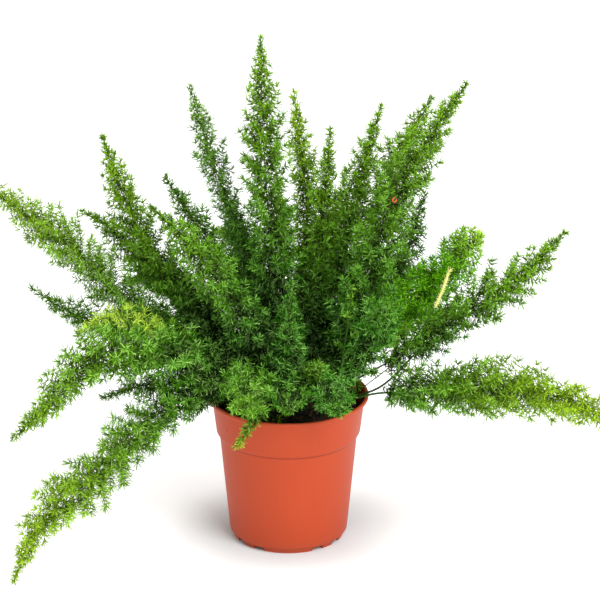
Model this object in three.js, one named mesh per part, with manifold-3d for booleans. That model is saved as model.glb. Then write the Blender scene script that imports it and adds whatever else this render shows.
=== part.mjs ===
// A foxtail fern (Asparagus densiflorus) growing in a plastic nursery pot.
// Millimetres, +Z up. The origin is on the pot's axis, on the surface that the pot stands on.
//
// Each plume is one closed solid: a slim three-sided stem, whose surface is raised into side branches,
// each of which carries a star of needles and ends in a needle. A branch or needle that would touch
// another one is turned aside or left out, so that no two plumes cross.

import * as THREE from 'three';
import { mergeVertices } from 'three/addons/utils/BufferGeometryUtils.js';
import Module from 'manifold-3d';

const wasm = await Module();
wasm.setup();

// ---- Driving dimensions -------------------------------------------------------------------------

// Nursery pot, 150 mm across the lip. Radii are outer ones, heights are from the ground.
const POT_SIDES = 36;
const POT_HEIGHT = 141;
const LIP_RADIUS = 75;
const LIP_HEIGHT = 3;
const LIP_WIDTH = 2.8;
const LIP_FLARE = 2.4;
const BAND_TOP_RADIUS = 71.2;
const BAND_BOTTOM_RADIUS = 67.4;
const BAND_BOTTOM_Z = 105.5;
const BODY_TOP_RADIUS = 64.4;
const BODY_TOP_Z = 101;
const BODY_BOTTOM_RADIUS = 55;
const EDGE_RADIUS = 4;
const WALL = 1.6;
const FLOOR_UNDERSIDE_Z = 3.5;
const FLOOR_TOP_Z = 5.5;
const FOOT_INNER_RADIUS = 46;

// Notches in the foot ring come in four pairs, with a drainage hole above each.
const NOTCH_PAIR_ANGLES = [45, 135, 225, 315];
const NOTCH_OFFSET_ANGLE = 13;
const NOTCH_WIDTH = 11;
const NOTCH_HEIGHT = 3.2;
const DRAIN_RING_RADIUS = 40;
const DRAIN_RADIUS = 4.5;
const DRAIN_SIDES = 6;

// Soil, with a small gap to the pot and to each stem.
const SEAT_GAP = 0.3;
const SOIL_SIDES = 20;
const SOIL_TOP_Z = 125;
const SOIL_RING_RADII = [56, 38, 20];
const SOIL_BUMP = 1.6;
const SOIL_WAVES = { x: 9, y: 7, diagonal: 5, diagonalShare: 0.6 };
const STEM_SOCKET_DEPTH = 9;
const STEM_UPRIGHT = 4;

// Stems, side branches and needles.
const STEM_RADIUS = 1.5;
const CORE_RADIUS = 2.7;
const STEM_TIP_RADIUS = 0.9;
const WHORL_HEIGHT = 3.4;
const WHORL_PITCH = 47;
const LEAST_PITCH_SHARE = 0.32;
const LAST_WHORL_TO_TIP = 5;
const WHORL_TURN = 47;
const BARE_STEP = 32;
const LEAST_STEP = 1;
const CORE_SWELL_LENGTH = 20;
const BRANCH_LEANS = [76, 58, 42];
const LEAN_SPREAD = 8;
const LEAST_LEAN = 38;
const LEAST_LEAN_FOR_REACH = 50;
const REACH_SPREAD = 0.16;
const ASIDE_TURNS = [6, 18, -6];
const NODS = [0, 12, -12];
const BRANCH_RADIUS = 1.4;
const ROOT_RADIUS = 1.9;
const STAR_HEIGHT = 2.6;
const STAR_RADIUS = 1.1;
const NEEDLE_LENGTH = 8;
const NEEDLE_LENGTH_SPREAD = 0.2;
const NEEDLE_RADIUS = 0.55;
const NEEDLE_LEAN = 22;
const NEEDLE_ROOT_SHARE = 0.12;
const TWIG_SHARE = 0.78;
const TWIG_RADIUS = 1;
const TWIG_SWING = 24;
const SHORTEST_STARRED_BRANCH = 13;
const CLEARANCE = 0.45;
const POT_CLEARANCE = { above: 3, outside: 2, inside: 2, soil: 6.4, ground: 2 };
const POT_TEST_SHARES = [0, 0.2, 0.4, 0.6, 0.8, 1];
const ROOT_SHARE = 0.3;
const STEM_START_TURN = -90;

// How a plume narrows to its tip: over how many of its widths, and by which power.
const FOXTAIL = { widths: 1.9, power: 0.75 };
const ROUND = { widths: 0.85, power: 0.5 };
const BLUNT = { widths: 2, power: 0.4 };

const FINISHES = {
  pot: { color: 0xd2603f, roughness: 0.45 },
  soil: { color: 0x2b1d14, roughness: 0.95 },
  withered: { color: 0xd9cf7e, roughness: 0.8 },
  dark: { color: 0x3f7a22, roughness: 0.6 },
  mid: { color: 0x4f9226, roughness: 0.6 },
  bright: { color: 0x70ab32, roughness: 0.6 },
  yellow: { color: 0x9bbf45, roughness: 0.6 },
};

// Every plume: its full width, the share of its stem that is bare, where its stem stands in the soil,
// and the points that the stem passes through from there to its tip. A young head has a round tip.
const PLUMES = [
  { name: 'plume_top_tall', tone: 'mid', width: 54, bare: 0.15, foot: [-4, 6],
    route: [[-10, 2, 200], [-13, 2, 272], [-20, 10, 340], [-24, 22, 425], [-25, 35, 478]] },
  { name: 'plume_top_left', tone: 'mid', width: 38, bare: 0.15, foot: [-12, 14],
    route: [[-31, 25, 250], [-67, 55, 341], [-92, 80, 416]] },
  { name: 'plume_left_high', tone: 'mid', width: 52, bare: 0.15, foot: [-23, 8],
    route: [[-80, 30, 212], [-129, 50, 262], [-158, 65, 324], [-173, 70, 371]] },
  { name: 'plume_left_high_thin', tone: 'mid', width: 42, bare: 0.15, foot: [-26, 20],
    route: [[-84, 52, 200], [-130, 78, 235], [-171, 98, 270], [-197, 110, 282]] },
  { name: 'plume_left_long', tone: 'bright', width: 56, bare: 0.15, foot: [-35, 8],
    route: [[-92, 10, 183], [-141, 25, 213], [-203, 52, 266], [-294, 84, 324]] },
  { name: 'plume_left_thin', tone: 'dark', width: 36, bare: 0.15, foot: [-40, -2],
    route: [[-91, -10, 172], [-147, -4, 203], [-206, 6, 221], [-239, 12, 242]] },
  { name: 'plume_top_left_short', tone: 'dark', width: 38, bare: 0.15, foot: [-14, 2],
    route: [[-45, 2, 236], [-81, 4, 300], [-114, 8, 354]] },
  { name: 'plume_front_left_tall', tone: 'mid', width: 52, bare: 0.15, foot: [-12, -12],
    route: [[-31, -42, 205], [-62, -60, 272], [-100, -74, 330], [-123, -82, 356]] },
  { name: 'plume_top_pale', tone: 'bright', width: 33, bare: 0.18, foot: [6, 17],
    route: [[16, 50, 240], [16, 78, 312], [11, 100, 352], [5, 118, 398]] },
  { name: 'plume_top_short', tone: 'mid', width: 34, bare: 0.18, foot: [7, 5],
    route: [[28, 20, 240], [33, 38, 310], [39, 55, 382]] },
  { name: 'plume_top_right_thin', tone: 'mid', width: 36, bare: 0.15, foot: [17, 11],
    route: [[50, 24, 260], [66, 34, 342], [85, 44, 408]] },
  { name: 'plume_top_small', tone: 'mid', width: 30, bare: 0.18, foot: [15, 27],
    route: [[36, 76, 220], [48, 112, 266], [53, 145, 308]] },
  { name: 'plume_right_tall', tone: 'mid', width: 58, bare: 0.15, foot: [16, -4],
    route: [[54, -22, 205], [82, -26, 290], [110, -20, 367], [162, -10, 449]] },
  { name: 'plume_right_tall_behind', tone: 'mid', width: 46, bare: 0.15, foot: [27, 12],
    route: [[66, 34, 250], [98, 54, 345], [133, 74, 407]] },
  { name: 'plume_right_behind', tone: 'dark', width: 54, bare: 0.15, foot: [25, 28],
    route: [[68, 56, 200], [108, 86, 240], [129, 108, 300]] },
  { name: 'plume_right_yellow', tone: 'yellow', width: 52, bare: 0.15, foot: [33, 4], tip: ROUND,
    route: [[57, 0, 182], [109, 20, 219], [144, 30, 248], [177, 40, 284]] },
  { name: 'plume_right_long', tone: 'mid', width: 56, bare: 0.28, foot: [39, -4],
    route: [[85, -8, 150], [119, -20, 190], [157, -35, 232], [213, -55, 279], [251, -65, 326]] },
  { name: 'plume_right_middle', tone: 'mid', width: 46, bare: 0.3, foot: [35, 16],
    route: [[78, 0, 163], [102, -14, 184], [131, -20, 214], [159, -24, 246]] },
  { name: 'plume_right_low', tone: 'bright', width: 64, bare: 0.2, foot: [44, -13], tip: BLUNT,
    route: [[75, -19, 147], [134, -40, 158], [195, -60, 168], [250, -76, 165], [297, -95, 155]] },
  { name: 'plume_left_trailing', tone: 'bright', width: 58, bare: 0.14, foot: [-38, -22],
    route: [[-70, -32, 150], [-113, -65, 152], [-178, -115, 103], [-229, -147, 66], [-249, -171, 27]] },
  { name: 'plume_left_arching', tone: 'bright', width: 62, bare: 0.14, foot: [-31, -13],
    route: [[-58, -35, 171], [-96, -55, 196], [-144, -75, 212],
      [-185, -95, 207], [-216, -108, 176], [-250, -115, 144]] },
  { name: 'plume_left_dark', tone: 'dark', width: 32, bare: 0.18, foot: [-44, -12],
    route: [[-78, -26, 156], [-128, -45, 168], [-172, -58, 160]] },
  { name: 'plume_left_yellow', tone: 'yellow', width: 34, bare: 0.5, foot: [-22, -5],
    route: [[-68, -25, 186], [-118, -45, 221], [-161, -62, 243], [-190, -75, 232]] },
  { name: 'plume_front_left_head', tone: 'bright', width: 56, bare: 0.3, foot: [-17, -33], tip: ROUND,
    route: [[-31, -55, 166], [-36, -100, 183], [-40, -130, 180]] },
  { name: 'plume_front_head', tone: 'mid', width: 42, bare: 0.3, foot: [-3, -40], tip: ROUND,
    route: [[-1, -62, 163], [1, -98, 178], [1, -118, 174]] },
  { name: 'plume_front_right_head', tone: 'mid', width: 46, bare: 0.3, foot: [15, -37], tip: ROUND,
    route: [[34, -62, 165], [42, -98, 178], [46, -120, 172]] },
  { name: 'plume_front_cone', tone: 'mid', width: 38, bare: 0.2, foot: [0, -18],
    route: [[0, -46, 178], [0, -60, 226], [3, -62, 277]] },
  { name: 'plume_front_low_cone', tone: 'mid', width: 40, bare: 0.2, foot: [-8, -27],
    route: [[-5, -50, 172], [0, -76, 216], [2, -90, 262]] },
  { name: 'plume_front_small_head', tone: 'bright', width: 26, bare: 0.3, foot: [9, -27], tip: ROUND,
    route: [[20, -52, 170], [28, -86, 202]] },
  { name: 'plume_over_rim', tone: 'bright', width: 24, bare: 0.5, foot: [-9, -47],
    route: [[-24, -66, 150], [-36, -84, 141], [-47, -90, 124]] },
  { name: 'plume_front_pale_stem', tone: 'mid', width: 28, bare: 0.6, foot: [23, -25],
    route: [[45, -54, 180], [53, -74, 230], [58, -90, 280]] },
  { name: 'plume_right_head', tone: 'mid', width: 42, bare: 0.25, foot: [31, -22], tip: ROUND,
    route: [[64, -44, 190], [84, -72, 240], [86, -102, 264]] },
  { name: 'plume_back_1', tone: 'mid', width: 46, bare: 0.15, foot: [12, 38],
    route: [[20, 74, 205], [34, 128, 250], [45, 172, 258]] },
  { name: 'plume_back_2', tone: 'mid', width: 46, bare: 0.15, foot: [-13, 38],
    route: [[-26, 74, 205], [-50, 132, 246], [-70, 172, 238]] },
  { name: 'plume_back_3', tone: 'dark', width: 44, bare: 0.15, foot: [28, 40],
    route: [[70, 82, 182], [115, 130, 206], [148, 158, 192]] },
  { name: 'plume_back_4', tone: 'dark', width: 44, bare: 0.15, foot: [-30, 34],
    route: [[-76, 76, 188], [-124, 124, 206], [-158, 154, 192]] },
  { name: 'plume_back_5', tone: 'mid', width: 40, bare: 0.18, foot: [-1, 28],
    route: [[-4, 76, 225], [-6, 120, 270], [-10, 152, 290]] },
  { name: 'plume_back_6', tone: 'mid', width: 40, bare: 0.15, foot: [42, 20],
    route: [[76, 47, 175], [126, 86, 186], [164, 112, 172]] },
  { name: 'plume_back_7', tone: 'mid', width: 40, bare: 0.15, foot: [-42, 20],
    route: [[-80, 47, 175], [-136, 84, 186], [-182, 108, 166]] },
  { name: 'plume_back_8', tone: 'mid', width: 44, bare: 0.15, foot: [2, 49],
    route: [[6, 80, 176], [14, 126, 182], [20, 160, 156]] },
  { name: 'plume_back_9', tone: 'dark', width: 40, bare: 0.15, foot: [-13, 25],
    route: [[-34, 66, 230], [-50, 106, 270], [-62, 138, 290]] },
];

// The withered young shoot: thin at the soil, thickest where its scales start, then tapering.
const WITHERED = {
  foot: [50, -6],
  route: [[85, -16, 166], [97, -24, 180], [134, -62, 252], [147, -66, 290]],
  radii: [1.1, 1.1, 1.2, 2.4, 0.9],
  rings: 15,
  scalesFrom: 0.82,
  scaleLength: 3,
  scaleLean: 37,
};

// ---- Small helpers ------------------------------------------------------------------------------

const degrees = THREE.MathUtils.degToRad;
const vector = (values) => new THREE.Vector3(...values);

function seededRandom(seed) {
  let state = seed;
  return () => {
    state = (state * 1103515245 + 12345) % 2147483648;
    return state / 2147483648;
  };
}

// A closed three.js geometry as a solid that can be joined and cut.
function toSolid(geometry) {
  const bare = geometry.clone();
  bare.deleteAttribute('normal');
  bare.deleteAttribute('uv');
  const merged = mergeVertices(bare, 1e-4);
  const corners = merged.index.array;
  const faces = [];
  for (let i = 0; i < corners.length; i += 3) {
    const [a, b, c] = corners.slice(i, i + 3);
    if (a !== b && b !== c && c !== a) faces.push(a, b, c);
  }
  return new wasm.Manifold(new wasm.Mesh({
    numProp: 3,
    vertProperties: new Float32Array(merged.attributes.position.array),
    triVerts: new Uint32Array(faces),
  }));
}

function toGeometry(solid) {
  const mesh = solid.getMesh();
  const geometry = new THREE.BufferGeometry();
  geometry.setAttribute('position', new THREE.BufferAttribute(mesh.vertProperties, 3));
  geometry.setIndex(new THREE.BufferAttribute(mesh.triVerts, 1));
  geometry.computeVertexNormals();
  return geometry;
}

function makeMesh(name, geometry, finish) {
  const material = new THREE.MeshStandardMaterial({ ...finish, metalness: 0 });
  const mesh = new THREE.Mesh(geometry, material);
  mesh.name = name;
  return mesh;
}

// A profile of [radius, height] pairs turned about the vertical axis.
function turned(profile, sides) {
  const points = profile.map(([radius, height]) => new THREE.Vector2(radius, height));
  return new THREE.LatheGeometry(points, sides).rotateX(Math.PI / 2);
}

// ---- Pot ----------------------------------------------------------------------------------------

function potProfile() {
  const edge = [-60, -30, 0].map((angle) => [
    BODY_BOTTOM_RADIUS - EDGE_RADIUS + EDGE_RADIUS * Math.cos(degrees(angle)),
    EDGE_RADIUS + EDGE_RADIUS * Math.sin(degrees(angle)),
  ]);
  return [
    [0, FLOOR_UNDERSIDE_Z],
    [FOOT_INNER_RADIUS, FLOOR_UNDERSIDE_Z],
    [FOOT_INNER_RADIUS, 0],
    [BODY_BOTTOM_RADIUS - EDGE_RADIUS, 0],
    ...edge,
    [BODY_TOP_RADIUS, BODY_TOP_Z],
    [BAND_BOTTOM_RADIUS, BAND_BOTTOM_Z],
    [BAND_TOP_RADIUS, POT_HEIGHT - LIP_HEIGHT - LIP_FLARE],
    [LIP_RADIUS, POT_HEIGHT - LIP_HEIGHT],
    [LIP_RADIUS, POT_HEIGHT],
    [LIP_RADIUS - LIP_WIDTH, POT_HEIGHT],
    [BAND_TOP_RADIUS - WALL, POT_HEIGHT - 2 * LIP_HEIGHT],
    [BAND_BOTTOM_RADIUS - WALL, BAND_BOTTOM_Z],
    [BODY_TOP_RADIUS - WALL, BODY_TOP_Z],
    [BODY_BOTTOM_RADIUS - WALL, FLOOR_TOP_Z],
    [0, FLOOR_TOP_Z],
  ];
}

function makePot() {
  let pot = toSolid(turned(potProfile(), POT_SIDES));
  for (const pair of NOTCH_PAIR_ANGLES) {
    for (const side of [-1, 1]) {
      const angle = degrees(pair + side * NOTCH_OFFSET_ANGLE);
      const length = 2 * (BODY_BOTTOM_RADIUS - FOOT_INNER_RADIUS);
      const notch = new THREE.BoxGeometry(length, NOTCH_WIDTH, 2 * NOTCH_HEIGHT);
      notch.translate(BODY_BOTTOM_RADIUS, 0, 0).rotateZ(angle);
      const drain = new THREE.CylinderGeometry(DRAIN_RADIUS, DRAIN_RADIUS, 4 * WALL, DRAIN_SIDES);
      drain.rotateX(Math.PI / 2).translate(DRAIN_RING_RADIUS, 0, FLOOR_TOP_Z).rotateZ(angle);
      pot = pot.subtract(toSolid(notch)).subtract(toSolid(drain));
    }
  }
  return makeMesh('pot', toGeometry(pot), FINISHES.pot);
}

// ---- Soil ---------------------------------------------------------------------------------------

function soilRadiusAtTop() {
  const rise = (SOIL_TOP_Z - BAND_BOTTOM_Z) / (POT_HEIGHT - LIP_HEIGHT - BAND_BOTTOM_Z);
  return BAND_BOTTOM_RADIUS + rise * (BAND_TOP_RADIUS - BAND_BOTTOM_RADIUS) - WALL - SEAT_GAP;
}

function makeSoil() {
  const inside = WALL + SEAT_GAP;
  const geometry = turned([
    [0, FLOOR_TOP_Z + SEAT_GAP],
    [BODY_BOTTOM_RADIUS - inside, FLOOR_TOP_Z + SEAT_GAP],
    [BODY_TOP_RADIUS - inside, BODY_TOP_Z],
    [BAND_BOTTOM_RADIUS - inside, BAND_BOTTOM_Z],
    [soilRadiusAtTop(), SOIL_TOP_Z],
    ...SOIL_RING_RADII.map((radius) => [radius, SOIL_TOP_Z]),
    [0, SOIL_TOP_Z],
  ], SOIL_SIDES);
  const position = geometry.attributes.position;
  for (let i = 0; i < position.count; i += 1) {
    const [x, y] = [position.getX(i), position.getY(i)];
    const onTop = position.getZ(i) > SOIL_TOP_Z - 1 && Math.hypot(x, y) < SOIL_RING_RADII[0] + 1;
    const diagonal = SOIL_WAVES.diagonalShare * Math.sin((x + y) / SOIL_WAVES.diagonal);
    const bump = Math.sin(x / SOIL_WAVES.x + 1) * Math.cos(y / SOIL_WAVES.y) + diagonal;
    if (onTop) position.setZ(i, SOIL_TOP_Z + SOIL_BUMP * bump);
  }
  let soil = toSolid(geometry);
  for (const [x, y] of [...PLUMES, WITHERED].map((plant) => plant.foot)) {
    const radius = STEM_RADIUS + 2 * SEAT_GAP;
    const depth = 2 * (STEM_SOCKET_DEPTH + SEAT_GAP);
    const socket = new THREE.CylinderGeometry(radius, radius, depth, 3);
    socket.rotateX(Math.PI / 2).translate(x, y, SOIL_TOP_Z);
    soil = soil.subtract(toSolid(socket));
  }
  return makeMesh('soil', toGeometry(soil), FINISHES.soil);
}

// ---- A solid that grows from its own surface ------------------------------------------------------

class GrowingSolid {
  points = [];

  faces = [];

  // Three corners round a centre, counterclockwise as seen against the growth direction.
  ring(centre, across, over, radius, turn) {
    const first = this.points.length;
    for (const step of [0, 120, 240]) {
      const angle = degrees(turn + step);
      this.points.push(centre.clone()
        .addScaledVector(across, radius * Math.cos(angle))
        .addScaledVector(over, radius * Math.sin(angle)));
    }
    return [first, first + 1, first + 2];
  }

  // Six faces from a lower ring to an upper one. The first takes the place of the given face.
  tube(lower, upper, replaced = this.faces.length) {
    const made = [];
    for (const side of [0, 1, 2]) {
      const next = (side + 1) % 3;
      for (const face of [[lower[side], lower[next], upper[next]], [lower[side], upper[next], upper[side]]]) {
        const index = made.length === 0 ? replaced : this.faces.length;
        this.faces[index] = face;
        made.push(index);
      }
    }
    return made;
  }

  // The face becomes three that meet at a tip.
  raise(face, tip) {
    const [a, b, c] = this.faces[face];
    const point = this.points.push(tip) - 1;
    this.faces[face] = [a, b, point];
    this.faces.push([b, c, point], [c, a, point]);
  }

  centre(face) {
    const [a, b, c] = this.faces[face].map((corner) => this.points[corner]);
    return a.clone().add(b).add(c).divideScalar(3);
  }

  normal(face) {
    const [a, b, c] = this.faces[face].map((corner) => this.points[corner]);
    return b.clone().sub(a).cross(c.clone().sub(a)).normalize();
  }

  geometry() {
    const geometry = new THREE.BufferGeometry();
    geometry.setFromPoints(this.points);
    geometry.setIndex(this.faces.flat());
    geometry.computeVertexNormals();
    return geometry;
  }
}

// ---- Room: what is already taken by stems, branches and needles -----------------------------------

const taken = [];

// The part is 'stem', 'root' (the start of a branch), 'branch' or 'needle'.
function take(from, to, radius, part, plume, branch = null) {
  taken.push({ line: new THREE.Line3(from.clone(), to.clone()), radius, part, plume, branch });
}

function clearOfPot(point) {
  const radius = Math.hypot(point.x, point.y);
  const overLip = point.z > POT_HEIGHT + POT_CLEARANCE.above;
  const outside = radius > LIP_RADIUS + POT_CLEARANCE.outside && point.z > POT_CLEARANCE.ground;
  const overSoil = point.z > SOIL_TOP_Z + POT_CLEARANCE.soil;
  const inside = radius < soilRadiusAtTop() - POT_CLEARANCE.inside && overSoil;
  return overLip || outside || inside;
}

// Whether a straight piece stays clear of the pot and of all that is taken, but for what it may touch.
function isFree(from, to, radius, mayTouch) {
  const line = new THREE.Line3(from, to);
  const tested = POT_TEST_SHARES.map((share) => line.at(share, new THREE.Vector3()));
  if (!tested.every(clearOfPot)) return false;
  return taken.every((other) => {
    if (mayTouch(other)) return true;
    const least = radius + other.radius + CLEARANCE;
    return line.distanceSqToLine3(other.line) > least * least;
  });
}

// ---- Plumes -------------------------------------------------------------------------------------

function stemCurve({ foot, route }) {
  const [x, y] = foot;
  return new THREE.CatmullRomCurve3([
    new THREE.Vector3(x, y, SOIL_TOP_Z - STEM_SOCKET_DEPTH),
    new THREE.Vector3(x, y, SOIL_TOP_Z + STEM_UPRIGHT),
    ...route.map(vector),
  ]);
}

// 1 along most of the plume, falling to 0 at its tip.
function taper(distanceToTip, { width, tip = FOXTAIL }) {
  return Math.min(1, distanceToTip / (tip.widths * width)) ** tip.power;
}

// Lays the stem and its whorls of bare faces, and takes its room.
function layStem(plume, number) {
  const random = seededRandom(number + 1);
  const curve = stemCurve(plume);
  const length = curve.getLength();
  const leafStart = plume.bare * length;
  const stations = [0, STEM_SOCKET_DEPTH + STEM_UPRIGHT];
  const bareLength = leafStart - stations[1];
  const bareStep = bareLength / Math.ceil(bareLength / BARE_STEP);
  while (stations.at(-1) + bareStep < leafStart - LEAST_STEP) stations.push(stations.at(-1) + bareStep);
  const whorls = [];
  const lastWhorl = length - WHORL_HEIGHT - LAST_WHORL_TO_TIP;
  for (let at = leafStart; at < lastWhorl - LAST_WHORL_TO_TIP;) {
    whorls.push(stations.length);
    stations.push(at, at + WHORL_HEIGHT);
    at += WHORL_HEIGHT + WHORL_PITCH * Math.max(LEAST_PITCH_SHARE, taper(length - at, plume));
  }
  whorls.push(stations.length);
  stations.push(lastWhorl, lastWhorl + WHORL_HEIGHT);

  const solid = new GrowingSolid();
  let across = new THREE.Vector3(1, 0, 0);
  let previous = null;
  let turn = STEM_START_TURN;
  const segments = [];
  const frames = stations.map((station, index) => {
    const centre = curve.getPointAt(station / length);
    const along = curve.getTangentAt(station / length);
    across = across.clone().addScaledVector(along, -along.dot(across)).normalize();
    const over = along.clone().cross(across);
    const leafy = THREE.MathUtils.clamp(1 + (station - leafStart) / CORE_SWELL_LENGTH, 0, 1);
    const core = STEM_TIP_RADIUS + (CORE_RADIUS - STEM_TIP_RADIUS) * taper(length - station, plume);
    const radius = THREE.MathUtils.lerp(STEM_RADIUS, core, leafy);
    if (whorls.includes(index)) turn += WHORL_TURN;
    const ring = solid.ring(centre, across, over, radius, turn);
    if (previous === null) solid.faces.push([ring[0], ring[2], ring[1]]);
    else {
      segments.push(solid.tube(previous.ring, ring));
      take(previous.centre, centre, Math.max(radius, previous.radius), 'stem', plume);
    }
    previous = { ring, centre, radius, along, across, over, turn };
    return previous;
  });
  const tip = curve.getPointAt(1);
  const last = frames.at(-1);
  const apex = solid.points.push(tip) - 1;
  for (const side of [0, 1, 2]) solid.faces.push([last.ring[side], last.ring[(side + 1) % 3], apex]);
  take(last.centre, tip, last.radius, 'stem', plume);
  return { plume, random, length, solid, whorls, stations, frames, segments, sites: [] };
}

// A side branch raised from a face: a bare length, a short stretch for its star, and its tip.
function growBranch(stem, face, direction, reach, branch) {
  const { solid, sites, plume, random } = stem;
  const [corner] = solid.faces[face];
  const root = solid.centre(face);
  const across = solid.points[corner].clone().sub(root);
  across.addScaledVector(direction, -across.dot(direction)).normalize();
  const over = direction.clone().cross(across);
  const tip = root.clone().addScaledVector(direction, reach);
  const starTop = tip.clone().addScaledVector(direction, -NEEDLE_LENGTH);
  const starBase = starTop.clone().addScaledVector(direction, -STAR_HEIGHT);
  const lower = solid.ring(starBase, across, over, STAR_RADIUS, 0);
  const upper = solid.ring(starTop, across, over, STAR_RADIUS, 0);
  solid.tube(solid.faces[face], lower, face);
  const star = solid.tube(lower, upper);
  const apex = solid.points.push(tip) - 1;
  for (const side of [0, 1, 2]) solid.faces.push([upper[side], upper[(side + 1) % 3], apex]);
  const elbow = root.clone().lerp(tip, ROOT_SHARE);
  take(root, elbow, ROOT_RADIUS, 'root', plume, branch);
  take(elbow, starTop, BRANCH_RADIUS, 'branch', plume, branch);
  take(starTop, tip, NEEDLE_RADIUS, 'branch', plume, branch);
  star.forEach((starFace, index) => {
    const angle = degrees(120 * Math.floor(index / 2) + (index % 2 === 0 ? 90 : 30));
    const outward = across.clone().multiplyScalar(Math.cos(angle)).addScaledVector(over, Math.sin(angle));
    const needle = outward.multiplyScalar(Math.cos(degrees(NEEDLE_LEAN)))
      .addScaledVector(direction, Math.sin(degrees(NEEDLE_LEAN)));
    const mayTouch = (other) => other.plume === plume && other.branch === branch;
    const length = NEEDLE_LENGTH * (1 + NEEDLE_LENGTH_SPREAD * (random() - 0.5));
    const room = { mayTouch, radius: NEEDLE_RADIUS, start: NEEDLE_ROOT_SHARE };
    sites.push({ face: starFace, direction: needle, length, ...room });
  });
}

// Tries to grow one branch, turned aside in steps where the way is taken.
function tryBranch(stem, frame, face, lean, reach, branch) {
  const { solid, plume } = stem;
  const ownPlume = (other) => other.plume === plume;
  const ownStemOrRoot = (other) => other.plume === plume && (other.part === 'stem' || other.part === 'root');
  const root = solid.centre(face);
  const outward = solid.normal(face);
  outward.addScaledVector(frame.along, -outward.dot(frame.along)).normalize();
  const sideways = frame.along.clone().cross(outward);
  for (const aside of ASIDE_TURNS) {
    for (const nod of NODS) {
      const angle = degrees(Math.max(lean + nod, LEAST_LEAN));
      const direction = outward.clone().multiplyScalar(Math.cos(degrees(aside)))
        .addScaledVector(sideways, Math.sin(degrees(aside)))
        .multiplyScalar(Math.sin(angle))
        .addScaledVector(frame.along, Math.cos(angle));
      const tip = root.clone().addScaledVector(direction, reach);
      const elbow = root.clone().lerp(tip, ROOT_SHARE);
      if (isFree(root, elbow, ROOT_RADIUS, ownPlume) && isFree(elbow, tip, BRANCH_RADIUS, ownStemOrRoot)) {
        growBranch(stem, face, direction, reach, branch);
        return;
      }
    }
  }
}

function growBranches(stem) {
  const { plume, random, length, whorls, stations, frames, segments, sites } = stem;
  const mayTouch = (other) => other.plume === plume && other.part === 'stem';
  whorls.forEach((ringIndex, order) => {
    const frame = frames[ringIndex];
    const width = plume.width * taper(length - stations[ringIndex], plume);
    segments[ringIndex].forEach((face, index) => {
      const lean = BRANCH_LEANS[(Math.floor(index / 2) + order) % 3] + LEAN_SPREAD * (random() - 0.5);
      const leanForReach = degrees(Math.max(lean, LEAST_LEAN_FOR_REACH));
      const reach = (width / 2 / Math.sin(leanForReach)) * (1 + REACH_SPREAD * (random() - 0.5));
      if (index % 2 === 0 && reach > SHORTEST_STARRED_BRANCH) {
        tryBranch(stem, frame, face, lean, reach, `${order}/${index}`);
      } else {
        const outward = stem.solid.normal(face);
        outward.addScaledVector(frame.along, -outward.dot(frame.along)).normalize();
        const swing = degrees(index % 2 === 0 ? TWIG_SWING : -TWIG_SWING);
        const direction = outward.multiplyScalar(Math.cos(swing))
          .addScaledVector(frame.along.clone().cross(outward), Math.sin(swing)).normalize()
          .multiplyScalar(Math.sin(degrees(lean))).addScaledVector(frame.along, Math.cos(degrees(lean)));
        const twig = Math.max(NEEDLE_LENGTH, TWIG_SHARE * reach);
        sites.push({ face, direction, mayTouch, length: twig, radius: TWIG_RADIUS, start: ROOT_SHARE });
      }
    });
  });
}

// Raises every needle and bare twig whose way is free.
function raiseNeedles({ plume, solid, sites }) {
  for (const { face, direction, mayTouch, length, radius, start } of sites) {
    const from = solid.centre(face);
    const tip = from.clone().addScaledVector(direction, length);
    const clear = from.clone().lerp(tip, start);
    if (isFree(clear, tip, radius, mayTouch)) {
      solid.raise(face, tip);
      take(clear, tip, radius, 'needle', plume);
    }
  }
}

// ---- Withered shoot -------------------------------------------------------------------------------

function makeWitheredShoot() {
  const curve = stemCurve(WITHERED);
  const solid = new GrowingSolid();
  let across = new THREE.Vector3(1, 0, 0);
  let previous = null;
  const sites = [];
  const straight = (STEM_SOCKET_DEPTH + STEM_UPRIGHT) / curve.getLength();
  for (let step = 0; step < WITHERED.rings; step += 1) {
    const share = step === 0 ? 0 : straight + (1 - straight) * ((step - 1) / (WITHERED.rings - 2));
    const centre = curve.getPointAt(share);
    const along = curve.getTangentAt(share);
    across = across.clone().addScaledVector(along, -along.dot(across)).normalize();
    const over = along.clone().cross(across);
    const place = share * (WITHERED.radii.length - 1);
    const left = Math.min(Math.floor(place), WITHERED.radii.length - 2);
    const radius = THREE.MathUtils.lerp(WITHERED.radii[left], WITHERED.radii[left + 1], place - left);
    const ring = solid.ring(centre, across, over, radius, STEM_START_TURN);
    if (previous === null) solid.faces.push([ring[0], ring[2], ring[1]]);
    else {
      const faces = solid.tube(previous.ring, ring);
      take(previous.centre, centre, Math.max(radius, previous.radius), 'stem', WITHERED);
      if (share > WITHERED.scalesFrom) faces.forEach((face) => sites.push({ face, along }));
    }
    previous = { ring, centre, radius };
  }
  solid.faces.push(previous.ring);
  const lean = degrees(WITHERED.scaleLean);
  for (const { face, along } of sites) {
    const direction = solid.normal(face).multiplyScalar(Math.sin(lean));
    direction.addScaledVector(along, Math.cos(lean));
    solid.raise(face, solid.centre(face).addScaledVector(direction.normalize(), WITHERED.scaleLength));
  }
  return makeMesh('withered_shoot', solid.geometry(), FINISHES.withered);
}

// ---- The potted plant -----------------------------------------------------------------------------

const fern = new THREE.Group();
fern.add(makePot(), makeSoil(), makeWitheredShoot());

const stems = PLUMES.map(layStem);
stems.forEach(growBranches);
stems.forEach(raiseNeedles);
for (const { plume, solid } of stems) {
  fern.add(makeMesh(plume.name, solid.geometry(), FINISHES[plume.tone]));
}

export default fern;
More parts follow.
